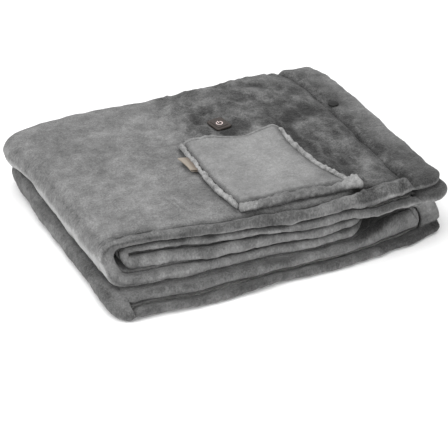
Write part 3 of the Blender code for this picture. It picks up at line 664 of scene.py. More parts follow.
def seam_dip(distance):
    """How far the pile is drawn in at a distance from a seam."""
    return SEAM_DIP * np.exp(-(np.maximum(distance, 0) / SEAM_DIP_WIDTH) ** 2)


def hem_measures(s, side):
    """The width and the groove's depth of the front hem of half A (side 1) or half B (side -1)."""
    if side < 0:
        return 0 * s + LONG_HEM, 0 * s + SEAM_DIP / 2
    top = s < LEFT_TURN_S
    return (curve(RIGHT_X - s, TOP_HEM_WIDTH) * top + SECOND_HEM * ~top,
            curve(RIGHT_X - s, TOP_HEM_DIP) * top + SEAM_DIP / 2 * ~top)


def hairpin_outline(s, layer, fold_steps, step_a, step_b, step_inner):
    """y and offset, a row for each s, of a layer round both halves and the back fold."""
    inner = PITCH / 2 + layer[0]
    outer = PITCH / 2 + layer[1]
    (width_a, dip), (width_b, _) = hem_measures(s, 1), hem_measures(s, -1)
    front_a = (front_edge(s, 1) + width_a)[:, None] + SEAM_GAP
    front_b = (front_edge(s, -1) + width_b)[:, None] + SEAM_GAP
    depth = BACK_FOLD_Y - FRONT_Y
    a_shares = steps(0, 1, step_a / depth)[None, :]
    b_shares = steps(0, 1, step_b / depth)[None, :]
    i_shares = steps(0, 1, step_inner / depth)[None, :]
    angles = np.linspace(math.pi / 2, -math.pi / 2, fold_steps + 1)[None, 1:-1]
    one = np.ones_like(front_a)

    def run(front, shares):
        return front + (BACK_FOLD_Y - front) * shares

    dip_s = seam_dip(s - s[0]) + seam_dip(s[-1] - s)
    at_hem = dip[:, None] / SEAM_DIP
    dip_a = np.minimum(seam_dip(run(front_a, a_shares) - front_a) * at_hem + dip_s[:, None], SEAM_DIP)
    dip_b = np.minimum(seam_dip(run(front_b, b_shares) - front_b) + dip_s[:, None], SEAM_DIP)
    arc_radius = outer - dip_s[:, None]
    y = np.hstack([run(front_a, a_shares), BACK_FOLD_Y + arc_radius * np.cos(angles),
                   run(front_b, b_shares[:, ::-1]), run(front_b, i_shares),
                   BACK_FOLD_Y + inner * np.cos(angles[:, ::-1]) * one, run(front_a, i_shares[:, ::-1])])
    offset = np.hstack([outer - dip_a, arc_radius * np.sin(angles), -outer + dip_b[:, ::-1],
                        -inner * one * np.ones_like(i_shares), inner * np.sin(angles[:, ::-1]) * one,
                        inner * one * np.ones_like(i_shares)])
    return y, offset


def make_fleece(name, layer, fine_runs, fold_steps, *across_steps):
    """A fleece round both halves and the back fold: the face outside, or the lining between the halves."""
    s = stations(END_HEM + SEAM_GAP, STRIP_LENGTH - FAR_HEM - SEAM_GAP, fine_runs)
    return soft_sweep(name, s, *hairpin_outline(s, layer, fold_steps, *across_steps))


def make_long_hem(name, side):
    """The rolled hem along the front edge of half A (side 1) or half B (side -1), and its painted highlight
    and painted shade at the left turn's rim.
    """
    s = stations(END_HEM + SEAM_GAP, STRIP_LENGTH - FAR_HEM - SEAM_GAP, (FINE * 0.85,) * 3)
    width, groove_depth = (value[:, None] for value in hem_measures(s, side))
    flat = np.linspace(1, 0, 7)[None, :]
    angles = np.linspace(math.pi / 2, 3 * math.pi / 2, 20)[None, 1:-1]
    behind = HEM_NOSE + (width - HEM_NOSE) * flat
    inward = np.hstack([behind, HEM_NOSE * (1 + np.cos(angles)) + 0 * width, behind[:, ::-1]])
    height = np.hstack([1 + 0 * flat, np.sin(angles), -1 + 0 * flat]) + 0 * width
    dip = seam_dip(width - inward) * groove_depth / SEAM_DIP
    dip = np.minimum(dip + (seam_dip(s - s[0]) + seam_dip(s[-1] - s))[:, None], SEAM_DIP)
    crown = curve(RIGHT_X - s, TOP_HEM_CROWN)[:, None] * np.sin(math.pi * np.clip(inward / width, 0, 1))
    crown = crown * (side > 0) * (s < LEFT_TURN_S)[:, None] * (height > 0)
    half = HALF_PLY * height * (1 - dip / HALF_PLY) + crown
    at_rim = bump_at(s, (LEFT_TURN_S + LEVEL_2_S) / 2, RIM_REACH)[:, None] * (side > 0) * (inward < HEM_NOSE)
    groove = at_rim * bump_at(height, RIM_HEIGHT, RIM_SPREAD)
    y = front_edge(s, side)[:, None] + inward + RIM_GROOVE * groove
    # painted highlight above the rim's groove, and painted shade in it
    shade = 0.10 * at_rim * smooth(RIM_HEIGHT + 0.15, RIM_HEIGHT + 0.40, height) - 0.14 * groove
    return *soft_sweep(name, s, y, side * PITCH / 2 + half, 1.4), shade.ravel()


def make_snap_hem():
    """The wide hem of the short ends at the right, over both halves and the back fold."""
    depth = np.hstack([END_ROUNDING * np.linspace(0, 1, 9) ** 2, steps(END_ROUNDING, END_HEM, FINE)[1:]])
    nose = np.clip(1 - depth / END_ROUNDING, 0, 1)
    half = HALF_PLY * np.maximum(END_NOSE, np.sqrt(1 - nose * nose)) - seam_dip(END_HEM - depth)
    corner = np.clip(1 - depth / END_CORNER, 0, 1)
    start = END_CORNER * (1 - np.sqrt(1 - corner * corner)) + HEM_NOSE
    half, start = half[:, None], start[:, None]
    shares = steps(0, 1, FINE / (BACK_FOLD_Y - FRONT_Y))[None, :]
    arc = np.linspace(math.pi / 2, -math.pi / 2, FOLD_STEPS + 1)[None, 1:-1]
    angles = np.linspace(math.pi / 2, -math.pi / 2, 14)[None, 1:-1]
    y, offset = [], []
    for side in (1, -1):
        near, far = (front_edge(depth, half_side)[:, None] + start for half_side in (side, -side))
        radius = PITCH / 2 + side * half
        y += [near + (BACK_FOLD_Y - near) * shares, BACK_FOLD_Y + radius * np.cos(arc),
              (far + (BACK_FOLD_Y - far) * shares)[:, ::-1], far - HEM_NOSE * np.cos(angles)]
        offset += [side * radius + 0 * shares, side * radius * np.sin(arc), -side * radius + 0 * shares,
                   -side * PITCH / 2 - half * np.sin(angles)]
    return *soft_sweep("snap_end_hem_pile", depth, np.hstack(y), np.hstack(offset)), 0


def make_far_hem():
    """The far short ends' hem, which rolls up round the end of the stack's two lowest plies."""
    centre_x = LEFT_X + FOLD_REACH
    hem_x = LEFT_X + FAR_HEM
    straight = steps(hem_x, centre_x, FINE * 0.8)
    angles = np.linspace(math.pi / 2, 3 * math.pi / 2, 22)[1:-1]
    line_x = np.hstack([straight, centre_x + PITCH / 2 * np.cos(angles), straight[::-1]])
    line_z = np.hstack([0 * straight + PITCH / 2, PITCH / 2 * np.sin(angles), 0 * straight - PITCH / 2])
    out_x = np.hstack([0 * straight, np.cos(angles), 0 * straight])
    out_z = np.hstack([0 * straight + 1, np.sin(angles), 0 * straight - 1])
    front = float(front_line(np.array(LEFT_X), np.array(HALF_PLY)))
    depth = np.hstack([HEM_NOSE * np.linspace(0, 1, 8) ** 2, steps(HEM_NOSE, BACK_FOLD_Y - front, FINE)[1:],
                       BACK_FOLD_Y - front + FOLD_REACH * np.sin(np.linspace(0, math.pi / 2, 9)[1:-1])])
    nose = np.clip(1 - depth / HEM_NOSE, 0, 1)
    half = (HALF_PLY * np.maximum(END_NOSE, np.sqrt(1 - nose * nose)))[:, None]
    beyond = np.clip((front + depth - BACK_FOLD_Y) / FOLD_REACH, 0, 0.995)
    flatten = np.sqrt(1 - beyond * beyond)[:, None]
    outer = half - np.minimum(seam_dip(hem_x - line_x), SEAM_DIP)[None, :]
    x = np.hstack([line_x + outer * out_x, (line_x - half * out_x)[:, ::-1]])
    z = np.hstack([(line_z + outer * out_z) * flatten, ((line_z - half * out_z) * flatten)[:, ::-1]])
    z = z + FOLD_REACH
    corner = np.clip(1 - np.minimum(depth, depth[-1] - depth) / END_CORNER, 0, 1)
    inset = END_CORNER * (1 - np.sqrt(1 - corner * corner))
    x = hem_x + (x - hem_x) * (1 - inset / FAR_HEM)[:, None]
    edge = front_line(np.full_like(z, np.mean(straight)), z)
    y = (front + depth)[:, None] + (edge - front) * smooth(0.10, 0.0, depth)[:, None] + 0 * x
    reference = np.stack([x, y, z], axis=-1)
    return *lofted("far_end_hem_pile", warp(reference), reference, None), 0


def make_inner(node):
    """A copy of a soft inner CAD piece, cut finer and bent with the layers round it."""
    cad = frame["nodes"][node]
    shape = bmesh.new()
    shape.from_mesh(cad.data)
    for _ in range(INNER_CUTS):
        long_edges = [edge for edge in shape.edges if edge.calc_length() > INNER_EDGE]
        if long_edges:
            bmesh.ops.subdivide_edges(shape, edges=long_edges, cuts=1)
    mesh = bpy.data.meshes.new(node + "_bent")
    shape.to_mesh(mesh)
    shape.free()
    made = bpy.data.objects.new(node + "_bent", mesh)
    bpy.context.scene.collection.objects.link(made)
    set_positions(made, warp(read(made.data.vertices, "co")))
    made.data.materials.clear()
    return made


# The pocket and its label.


def bar_ends(node):
    """The middles of a straight bar's two ends."""
    points = read(frame["nodes"][node].data.vertices, "co")
    reach = points - points.mean(0)
    along = reach @ np.linalg.svd(reach, full_matrices=False)[2][0]
    return points[along < along.min() + BAR_END].mean(0), points[along > along.max() - BAR_END].mean(0)


def pocket_corners():
    """The pocket's back left, back right, front right and front left corners in x and y."""
    found = []
    for node in ("pocket_seam_left", "pocket_seam_right"):
        ends = sorted(bar_ends(node), key=lambda point: -point[1])
        found.append([end[:2] for end in ends])
    (back_left, front_left), (back_right, front_right) = found
    return back_left, back_right + BACK_RIGHT_TUCK, front_right + FRONT_RIGHT_TUCK, front_left


def pocket_place(u, v):
    """x and y of the pocket at shares u from left to right and v from its mouth to its front seam."""
    back_left, back_right, front_right, front_left = pocket_corners()
    left = back_left + (front_left - back_left) * v[..., None]
    left[..., 0] -= LEFT_SEAM_BOW * np.sin(math.pi * v)
    right = back_right + (front_right - back_right) * v[..., None]
    right[..., 0] -= RIGHT_SEAM_BOW * np.sin(math.pi * v)
    place = left + (right - left) * u[..., None]
    place[..., 1] += curve(u, MOUTH_WAVE) * np.clip(1 - v * 2.5, 0, 1) ** 2 - curve(u, FRONT_SHIFT) * v * v
    return place[..., 0], place[..., 1]


def pocket_floor(x, y):
    """The height of the top ply's pile under the pocket."""
    return STACK + top_relief(x.ravel(), y.ravel()).reshape(x.shape) + POCKET_LIE


def pocket_height(u, v):
    """How high the panel stands above the ply: full in the middle, drawn down at its seams."""
    side = np.clip(np.minimum(u, 1 - u) / 0.16, 0, 1)
    front = np.clip((1 - v) / 0.12, 0, 1)
    crown = PANEL_CROWN * np.sin(side * math.pi / 2) * np.sin(front * math.pi / 2)
    return 0.0003 + crown + spots(u, v, MOUTH_SWELLS)


def finish_pocket_piece(name, points, rough):
    """A closed lofted piece of the pocket, ruffled all over."""
    return lofted(name, points, points, np.full(points[..., 0].size, 0.6), rough)


def pocket_tube(name, u, v, width, height, rough, tuft=0.0):
    """A rolled seam along the line of shares u, v, with a tufted right end, and its painted shade."""
    x, y = pocket_place(u, v)
    along_x, along_y = np.gradient(x), np.gradient(y)
    length = np.hypot(along_x, along_y)
    line = on_plan(x, y)
    at_front = v > 0.99
    ends = np.minimum(np.arange(len(u)), np.arange(len(u))[::-1])
    swell = 1 + 0.12 * cloud(line, 0.014, 21) + 0.12 * cloud(line, 0.007, 22)
    swell *= np.sqrt(np.clip((ends + 0.6) / 3.0, 0.1, 1))
    swell *= 1 + tuft * smooth(0.90, 0.97, u) * at_front
    sway = TUBE_SWAY * cloud(line, 0.022, 23)
    angles = np.linspace(0, 2 * math.pi, 19)[None, :-1]
    ring = np.broadcast_arrays(x[:, None] + width * np.cos(angles), y[:, None], height * np.sin(angles))
    swell = swell[:, None] * (1 + wave(*ring, (0.30, 0.0050), 24))
    across = width * swell * np.cos(angles) + sway[:, None]
    rise = pocket_floor(x, y)[:, None] - 0.0006 + height * swell * (1 + np.sin(angles))
    points = np.stack([x[:, None] + across * (along_y / length)[:, None],
                       y[:, None] - across * (along_x / length)[:, None], rise], axis=-1)
    # painted shade on the tube's lower half; darker too along the middle of the front hem
    edge = np.clip(1 - (1 + np.sin(angles)) / 1.2, 0, 1) + 0 * across
    edge += (0.55 * smooth(0.08, 0.22, u) * smooth(0.92, 0.80, u) * at_front)[:, None]
    return *finish_pocket_piece(name, points, rough), edge.ravel()


def make_pocket_panel():
    """The pocket's loose front, between its seams and its mouth hem, and its painted shade."""
    u = np.linspace(PANEL_SIDE, 1 - PANEL_SIDE, 76)[:, None]
    v = np.linspace(MOUTH_HEM + 0.002, 1 - PANEL_FRONT, 92)[None, :]
    u, v = np.broadcast_arrays(u, v)
    x, y = pocket_place(u, v)
    top = pocket_floor(x, y) + pocket_height(u, v) + PANEL_THICK
    top += wave(x, y, 0 * x, (0.0008, 0.040), 24) + wave(x, y, 0 * x, (0.0004, (0.030, 0.011, 1.0)), 25)
    upper = np.stack([x, y, top], axis=-1)
    lower = np.stack([x, y, top - PANEL_THICK], axis=-1)
    # painted shade where the panel dips to its seams, wider towards the right seam, lighter round the middle
    seam = np.maximum(smooth(0.085, 0.032, np.minimum(u, 1 - u)), smooth(0.885, 0.945, v))
    seam = np.maximum(seam, 0.45 * smooth(0.80, 0.97, u) * smooth(0.1, 0.4, v))
    seam = seam - 0.25 * spot(u, v, (0.62, 0.48), (0.3, 0.3))
    edge = np.concatenate([seam, seam[:, ::-1]], axis=1).ravel()
    points = np.concatenate([upper, lower[:, ::-1]], axis=1)
    return *finish_pocket_piece("pocket_panel_pile", points, 0.45), edge


def make_mouth_hem():
    """The narrow hem of the pocket's mouth, and its painted shade."""
    u = np.linspace(SEAM_START, 1 - SEAM_START, 110)[:, None]
    angles = np.linspace(0, 2 * math.pi, 17)[None, :-1]
    v = MOUTH_HEM / 2 * (1 - np.cos(angles)) + 0 * u
    u = u + 0 * angles
    x, y = pocket_place(u, v)
    rise = pocket_floor(x, y) + pocket_height(u, v) + PANEL_THICK * (0.5 + 0.72 * np.sin(angles))
    # painted shade along the hem's seam to the panel
    edge = 0.45 * bump_at(v, MOUTH_HEM, 0.006)
    points = np.stack([x, y, rise], axis=-1)
    return *finish_pocket_piece("pocket_mouth_hem_pile", points, 0.6), edge.ravel()


def make_label():
    """The folded label, sewn into the pocket's left seam."""
    low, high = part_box("loop_label")
    share = np.linspace(0, 1, 22)[:, None]
    reach = high.x - low.x
    turn = np.linspace(-math.pi / 2, math.pi / 2, 9)[1:-1]
    run = np.linspace(0, 1, 7)

    def side(lie):
        across = np.hstack([(1 - run) * reach, -np.cos(turn) * lie, run * reach])
        return across, np.hstack([0 * run - lie, np.sin(turn) * lie, 0 * run + lie])

    (outer_x, outer_z), (inner_x, inner_z) = side(LABEL_LIE + LABEL_THICK), side(LABEL_LIE)
    away = np.hstack([outer_x, inner_x[::-1]])[None, :]
    apart = np.hstack([outer_z, inner_z[::-1]])[None, :]
    x = low.x - LABEL_SHIFT[0] + away + LABEL_TWIST * (1 - away / reach) * (share - 0.3)
    y = np.linspace(high.y, low.y, 22)[:, None] - LABEL_SHIFT[1] + 0 * away
    wavy = LABEL_WAVE * np.sin(3.5 * share + away / reach)
    z = pocket_floor(x, y) + LABEL_LIFT + LABEL_TILT * (1 - away / reach) + apart + wavy
    points = np.stack([x, y, z], axis=-1)
    made = mesh_of("label_ribbon", points.reshape(-1, 3), loft_faces(*points.shape[:2]))
    face_outwards(made)
    return made, points.reshape(-1, 3)


# Materials.


class Look:
    """A new material, with short ways to add nodes to it."""

    def __init__(self, name):
        self.material = bpy.data.materials.new(name)
        self.material.use_nodes = True
        self.nodes = self.material.node_tree.nodes
        self.link = self.material.node_tree.links.new
        self.shader = self.nodes["Principled BSDF"]

    def settle(self, **values):
        """Set the shader's own sockets, named with _ for each space."""
        for name, value in values.items():
            self.shader.inputs[name.replace("_", " ")].default_value = value

    def coordinate(self):
        """Object space."""
        return self.nodes.new("ShaderNodeTexCoord").outputs["Object"]

    def stored(self, name):
        """A value stored at the mesh's points."""
        made = self.nodes.new("ShaderNodeAttribute")
        made.attribute_name = name
        return made.outputs["Fac"]

    def noise(self, coordinate, scale, detail, roughness=0.6, distortion=0.0):
        """A noise texture."""
        made = self.nodes.new("ShaderNodeTexNoise")
        for name, value in (("Scale", scale), ("Detail", detail), ("Roughness", roughness),
                            ("Distortion", distortion)):
            made.inputs[name].default_value = value
        self.link(coordinate, made.inputs["Vector"])
        return made.outputs["Fac"]

    def math(self, operation, *operands):
        """One Math node on sockets or numbers."""
        made = self.nodes.new("ShaderNodeMath")
        made.operation = operation
        for socket, value in zip(made.inputs, operands):
            if isinstance(value, (int, float)):
                socket.default_value = value
            else:
                self.link(value, socket)
        return made.outputs[0]

    def colour(self, value, stops):
        """The base colour, from a ramp of stops (position, colour)."""
        made = self.nodes.new("ShaderNodeValToRGB")
        while len(made.color_ramp.elements) < len(stops):
            made.color_ramp.elements.new(0.5)
        for element, (position, tone) in zip(made.color_ramp.elements, stops):
            element.position = position
            element.color = (*tone, 1.0)
        self.link(value, made.inputs["Fac"])
        self.link(made.outputs["Color"], self.shader.inputs["Base Color"])

    def bump(self, height, strength, distance):
        """Bump on the shader."""
        made = self.nodes.new("ShaderNodeBump")
        made.inputs["Strength"].default_value = strength
        made.inputs["Distance"].default_value = distance
        self.link(height, made.inputs["Height"])
        self.link(made.outputs["Normal"], self.shader.inputs["Normal"])


def pile_tone(display):
    """The albedo that shows as that display value on the lit top."""
    share = display / 255
    return ((share + 0.055) / 1.055) ** 2.4 / TOP_LIGHT


def pile_stops():
    """Ramp stops from the darkest to the lightest pile, even in display values."""
    shares = np.linspace(0, 1, PILE_STOPS).tolist()
    tones = [pile_tone(DARKEST + (LIGHTEST - DARKEST) * share) for share in shares]
    return [(share, tuple(tone * tint for tint in PILE_TINT)) for share, tone in zip(shares, tones)]


def plush(name, amount):
    """Deep pile: tone from the stored value, painted shade and highlights included, patches where it is
    crushed, and fibres in the bump.
    """
    look = Look(name)
    coordinate = look.coordinate()
    tone, crush = look.stored("nap_and_painted_light"), look.stored("crush")
    patches = look.noise(coordinate, 30.0, 6.0, 0.85, 0.15)
    hanging = look.nodes.new("ShaderNodeMapping")
    hanging.inputs["Scale"].default_value = (1.0, 1.0, 0.35)
    look.link(coordinate, hanging.inputs["Vector"])
    fibre = look.noise(hanging.outputs["Vector"], 480.0, 3.0, 0.7)
    for value, strength in ((patches, amount), (fibre, amount * 0.60)):
        part = look.math("MULTIPLY_ADD", value, strength, -strength / 2)
        tone = look.math("ADD", tone, look.math("MULTIPLY", part, crush))
    look.colour(tone, pile_stops())
    tuft = look.noise(coordinate, 230.0, 4.0, 0.7)
    look.bump(look.math("ADD", tuft, look.math("MULTIPLY", fibre, 0.5)), 0.7, 0.0022)
    look.settle(Roughness=0.92, Specular_IOR_Level=0.15, Sheen_Weight=0.15, Sheen_Roughness=0.55)
    return look.material


def plain_finish(slot, colour):
    """A finish for the pieces whose CAD shape stays, from the record's colour."""
    roughness, metallic, scale, spread, depth = FINISHES[slot]
    look = Look("finish_" + slot)
    grain = look.noise(look.coordinate(), scale, 4.0)
    deep = DEEP_TONES.get(slot, 1.0)
    dark, light = (tuple(min(1.0, channel * share * deep) for channel in colour)
                   for share in (1 - spread, 1 + spread))
    look.colour(grain, [(0.3, dark), (0.7, light)])
    look.bump(grain, 0.4, depth)
    look.settle(Roughness=roughness, Metallic=metallic)
    if slot == "stud":
        look.settle(Specular_IOR_Level=0.25)
    if slot == "light_guide":
        look.settle(Emission_Color=(1.0, 0.70, 0.66, 1.0), Emission_Strength=0.14)
    return look.material


def ribbon(name):
    """The label's woven ribbon: fine ribs, and the stored tone, painted shadow included."""
    look = Look(name)
    coordinate = look.coordinate()
    weave = look.nodes.new("ShaderNodeTexWave")
    weave.bands_direction = "Y"
    weave.inputs["Scale"].default_value = 420.0
    weave.inputs["Distortion"].default_value = 0.4
    look.link(coordinate, weave.inputs["Vector"])
    ribs = weave.outputs["Fac"]
    blotch = look.noise(coordinate, 260.0, 3.0)
    tone = look.math("ADD", look.stored("nap_and_painted_light"), look.math("MULTIPLY", blotch, 0.30))
    tone = look.math("ADD", tone, look.math("MULTIPLY", ribs, 0.08))
    look.colour(tone, LABEL_STOPS)
    look.bump(ribs, 0.4, 0.0003)
    look.settle(Roughness=0.7)
    return look.material


# Stage.


def make_stage():
    """A plain pale floor, soft studio light and the camera."""
    scene = bpy.context.scene
    scene.view_settings.view_transform = "Standard"
    bpy.ops.mesh.primitive_plane_add(size=24.0, location=(0, 0, -0.0002))
    floor = bpy.context.object
    floor.name = "floor"
    look = Look("pale_floor")
    look.settle(Base_Color=(0.97, 0.97, 0.97, 1.0), Roughness=0.9, Specular_IOR_Level=0.0)
    floor.data.materials.append(look.material)
    scene.world = bpy.data.worlds.new("studio")
    scene.world.use_nodes = True
    background = scene.world.node_tree.nodes["Background"]
    background.inputs["Color"].default_value = (1.0, 1.0, 1.0, 1.0)
    background.inputs["Strength"].default_value = WORLD_LIGHT
    for name, energy, size, place in LAMPS:
        light = bpy.data.lights.new(name, "AREA")
        light.energy, light.size = energy, size
        lamp = bpy.data.objects.new(name, light)
        lamp.location = place
        lamp.rotation_euler = (-Vector(place)).to_track_quat("-Z", "Y").to_euler()
        scene.collection.objects.link(lamp)
    camera = bpy.data.objects.new("camera", bpy.data.cameras.new("camera"))
    back = Vector((math.sin(CAMERA_AZIMUTH) * math.cos(CAMERA_ELEVATION),
                   -math.cos(CAMERA_AZIMUTH) * math.cos(CAMERA_ELEVATION), math.sin(CAMERA_ELEVATION)))
    camera.location = CAMERA_TARGET + back * CAMERA_DISTANCE
    camera.rotation_euler = (-back).to_track_quat("-Z", "Y").to_euler()
    camera.data.lens = CAMERA_LENS
    camera.data.sensor_width = 36.0
    scene.collection.objects.link(camera)
    scene.camera = camera


# The nap.


def top_shade(x, y):
    """How much darker the top's pile shows, where it is brushed towards the right end and round the badge,
    with painted shadow below the badge, painted shade beside the pocket's right seam and painted creases.
    """
    shade = spots(x, y, TOP_SPOTS)
    for amount, x_range, y_range in TOP_AREAS:
        shade += amount * smooth(*x_range, x) * smooth(*y_range, y)
    for place, lean, reach in CREASES:
        off = x - place[0] - lean * (y - place[1])
        # painted shade along each crease, with a painted highlight beside it
        crease_shade_and_highlight = 0.15 * bump_at(off, 0, 0.0022) - 0.07 * bump_at(off, 0.0045, 0.0030)
        shade += bump_at(y, place[1], reach) * crease_shade_and_highlight
    return shade * (1 - STUD_HEM_EVENNESS * smooth(0.205, 0.235, x) * smooth(-0.12, -0.06, y))


def pocket_shadow(x, y):
    """1 beside the pocket's seams, where the pile is pressed down and shaded."""
    shadow = np.zeros_like(x)
    near = np.flatnonzero((np.abs(x - 0.03) < 0.11) & (np.abs(y + 0.05) < 0.13))
    v = np.linspace(0.02, 0.98, 70)
    for u, out, valley in ((0.0, -1, 0.0), (1.0, 1, 1.05)):
        line_x, line_y = pocket_place(u + 0 * v, v)
        line_x = line_x + out * PIPING
        away = np.hypot(x[near, None] - line_x, y[near, None] - line_y).min(1)
        beside = np.exp(-(away / 0.0032) ** 2) + valley * np.exp(-(away / 0.019) ** 2)
        shadow[near] = np.maximum(shadow[near], beside)
    return shadow


def seam_shade(x, y, z):
    """1 where painted shade falls: in the grooves of the stud's hem and of the top front hem, and in the
    crease at the stud's hem's front corner.
    """
    wander = 0.0015 * cloud(np.stack([0 * x, y, z], axis=-1), 0.020, 16)
    groove = bump_at(x + wander, RIGHT_X - END_HEM, 0.0030) * (1 - spot(x, y, STUD_PLACE, (0.016, 0.016)))
    depth = 2.0 * curve(x, TOP_HEM_DIP) / SEAM_DIP * (x < RIGHT_X - END_HEM)
    front = bump_at(y - front_line(x, z), curve(x, TOP_HEM_WIDTH), 0.0045) * depth
    corner = 1.6 * spot(x, y, (RIGHT_X - END_HEM, -0.155), (0.012, 0.018))
    return np.maximum(np.maximum(groove, corner), front)


def top_pile_and_painted_light(reference, inward):
    """The top's tone: brushed areas, crumples, painted shade in its grooves and beside the pocket's seams,
    and painted highlights on its front hem's crests and the right end's rim.
    """
    x, y, z = reference.T
    bent = reference + 0.016 * cloud(reference, 0.040, 15)[:, None]
    crumpling = STROKES * cloud(bent, (0.020, 0.046, 0.02), 13) + CRUMPLES * crumples(x, y)
    tone = crumpled(x, y) * crumpling - top_shade(x, y)
    # painted highlight along the rim of the right end
    tone += END_RIM_HIGHLIGHT * smooth(RIGHT_X - 0.018, RIGHT_X - 0.006, x)
    # painted shade in the grooves and beside the pocket's seams
    tone -= GROOVE_SHADE * (seam_shade(x, y, z) + pocket_shadow(x, y))
    # painted highlights on the front hem's crests
    for amount, at, width, rise, fall in HEM_CREST_HIGHLIGHTS:
        tone += amount * bump_at(inward, at, width) * smooth(*rise, x) * smooth(*fall, x)
    return tone


def left_turn_painted_light(reference):
    """Painted light on the left turn: a painted highlight, the pile's sheen, along its middle, and a darker
    band above that.
    """
    x, y, z = reference.T
    out = np.hypot(x - LEFT_TURN_X, z - LEFT_TURN_Z)
    on_turn = (x < LEFT_TURN_X) * smooth(TURN_REACH - 0.006, TURN_REACH - 0.002, out)
    angle = np.arctan2(z - LEFT_TURN_Z, LEFT_TURN_X - x)
    angle += 0.20 * cloud(reference, 0.045, 14) + 0.14 * bump_at(y, 0.11, 0.03)
    # painted highlight along the turn's middle
    return on_turn * (TURN_HIGHLIGHT * bump_at(angle, -0.12, 0.26) - TURN_DARK * bump_at(angle, 0.80, 0.25))


def front_patches_and_painted_light(reference, nose):
    """The front edges' tone: a painted highlight low on each ply's nose, painted shade high on it, under the
    ply above, and at its foot, with soft patches of random tone.
    """
    x, _, z = reference.T
    level = (z / PITCH) % 1
    between_turns = smooth(LEFT_TURN_X, LEFT_TURN_X + 0.02, x) * smooth(RIGHT_TURN_X, RIGHT_TURN_X - 0.02, x)
    # painted highlight low on each nose, painted shade under the ply above and at its foot
    nose_highlight_and_gap_shade = NOSE_HIGHLIGHT * bump_at(level, 0.30, 0.16) - GAP_SHADE_ABOVE * smooth(0.55, 0.95, level)
    nose_highlight_and_gap_shade -= GAP_SHADE_BELOW * smooth(0.14, 0.0, level)
    patches = 0.16 * cloud(reference, (0.034, 0.034, 0.013), 19) + 0.08 * cloud(reference, 0.012, 20)
    return nose * (between_turns * nose_highlight_and_gap_shade + patches)


def lower_painted_shade(reference):
    """Painted shade on the lower plies, deepest at the left side, where it varies in patches, and on the
    bottom ply.
    """
    x, _, z = reference.T
    side = smooth(LEFT_X + 0.022, LEFT_X + 0.012, x)
    patches = SIDE_SHADE + 0.16 * cloud(reference, 0.034, 17)
    # painted shade on the lower plies and on the bottom ply
    shade = smooth(2.2 * PITCH, 1.6 * PITCH, z) * (patches * side + LOWER_SHADE)
    return -shade - (1 - side) * BOTTOM_SHADE * smooth(PITCH, 0.7 * PITCH, z)


def right_end_painted_shade(x, y, z, at_front):
    """The right end's tone: painted shade where the plies part, under the top hem, on the lower plies, in the
    crease and in the hollow over the swollen ply, and a lighter band on the right turn.
    """
    second_top = smooth(4.30 * PITCH, 4.70 * PITCH, z) * smooth(5 * PITCH, 5 * PITCH - PLY_GAP, z)
    underside = at_front * smooth(5.6 * PITCH, 5.1 * PITCH, z) * (z > 5 * PITCH)
    # painted shade where the plies part, under the top ply's hem and on the lower plies
    shade = SECOND_TOP_SHADE * second_top + HEM_UNDERSIDE_SHADE * underside
    shade += PILLOW_SHADE * between(z, PITCH, 2 * PITCH)
    shade += BOTTOM_RIGHT_SHADE * smooth(1.1 * PITCH, 0.9 * PITCH, z)
    hollow = smooth(0.085, 0.120, x) * smooth(0.206, 0.196, x) * smooth(-0.10, -0.14, y)
    shoulder = (1.50 + 0.25 * smooth(0.140, 0.170, x)) * PITCH
    hollow *= smooth(shoulder, shoulder + 0.5 * PITCH, z) * smooth(4.2 * PITCH, 4.0 * PITCH, z)
    on_turn = smooth(RIGHT_TURN_X + PITCH, RIGHT_TURN_X + 1.4 * PITCH, x)
    on_turn *= between(z, 1.3 * PITCH, 3.5 * PITCH)
    return (RIGHT_TURN_LIGHT * on_turn - smooth(0.08, 0.16, x) * shade - HOLLOW_SHADE * hollow
            - CREASE_SHADE * right_crease(x, z))


def pile_and_painted_light_of(reference):
    """The pile's tone, painted shade and highlights included, and its crush over the throw, before the
    material's finer patches.
    """
    x, y, z = reference.T
    inward = y - front_line(x, z)
    on_top = smooth(STACK - 0.006, STACK - 0.003, z)
    at_front = smooth(0.012, 0.004, inward)
    nose = at_front * smooth(STACK, STACK - HALF_PLY, z)
    tone = THROW_NAP + 0.04 * cloud(reference, 0.060, 11) + 0.03 * cloud(reference, 0.024, 12)
    tone += on_top * top_pile_and_painted_light(reference, inward) + left_turn_painted_light(reference) + front_patches_and_painted_light(reference, nose)
    tone += lower_painted_shade(reference) + right_end_painted_shade(x, y, z, at_front)
    # painted shade on the top ply's nose, towards the left
    top_nose = smooth(STACK - PITCH, STACK - 0.002, z) * smooth(0.020, 0.006, inward)
    tone -= TOP_NOSE_SHADE * top_nose * smooth(0.06, 0.00, x)
    # painted highlight along the rim of each front edge
    tone += RIM_HIGHLIGHT * bump_at(np.abs(inward - 0.0010), 0, 0.0018)
    return tone, 0.62 + 0.22 * crumpled(x, y) * on_top - 0.06 * nose


def pocket_pile_and_painted_shade(reference, base, edge, clumps):
    """The tone and crush of the pocket's lighter pile, with painted shade by edge where it dips to a seam or
    lies under a tube.
    """
    x, y, _ = reference.T
    tone = base + 0.03 * cloud(reference, 0.035, 32) + 0.025 * cloud(reference, (0.018, 0.045, 0.02), 31)
    tone += clumps * cloud(reference, 0.0055, 33) + spots(x, y, POCKET_SPOTS) - EDGE_SHADE * edge
    return tone, np.full(len(x), 0.50 + 2.0 * clumps)


# The script itself.


def stand_for(piece, material, node):
    """Give a replacing piece its material and body, and hide the CAD node that it replaces."""
    piece.data.materials.append(material)
    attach(piece, "throw")
    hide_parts(node)
    return piece


def show(piece, nap_and_painted_light, material, node):
    """The same for a piece of pile, with its tone and crush."""
    set_tone(piece, *nap_and_painted_light)
    return stand_for(piece, material, node)


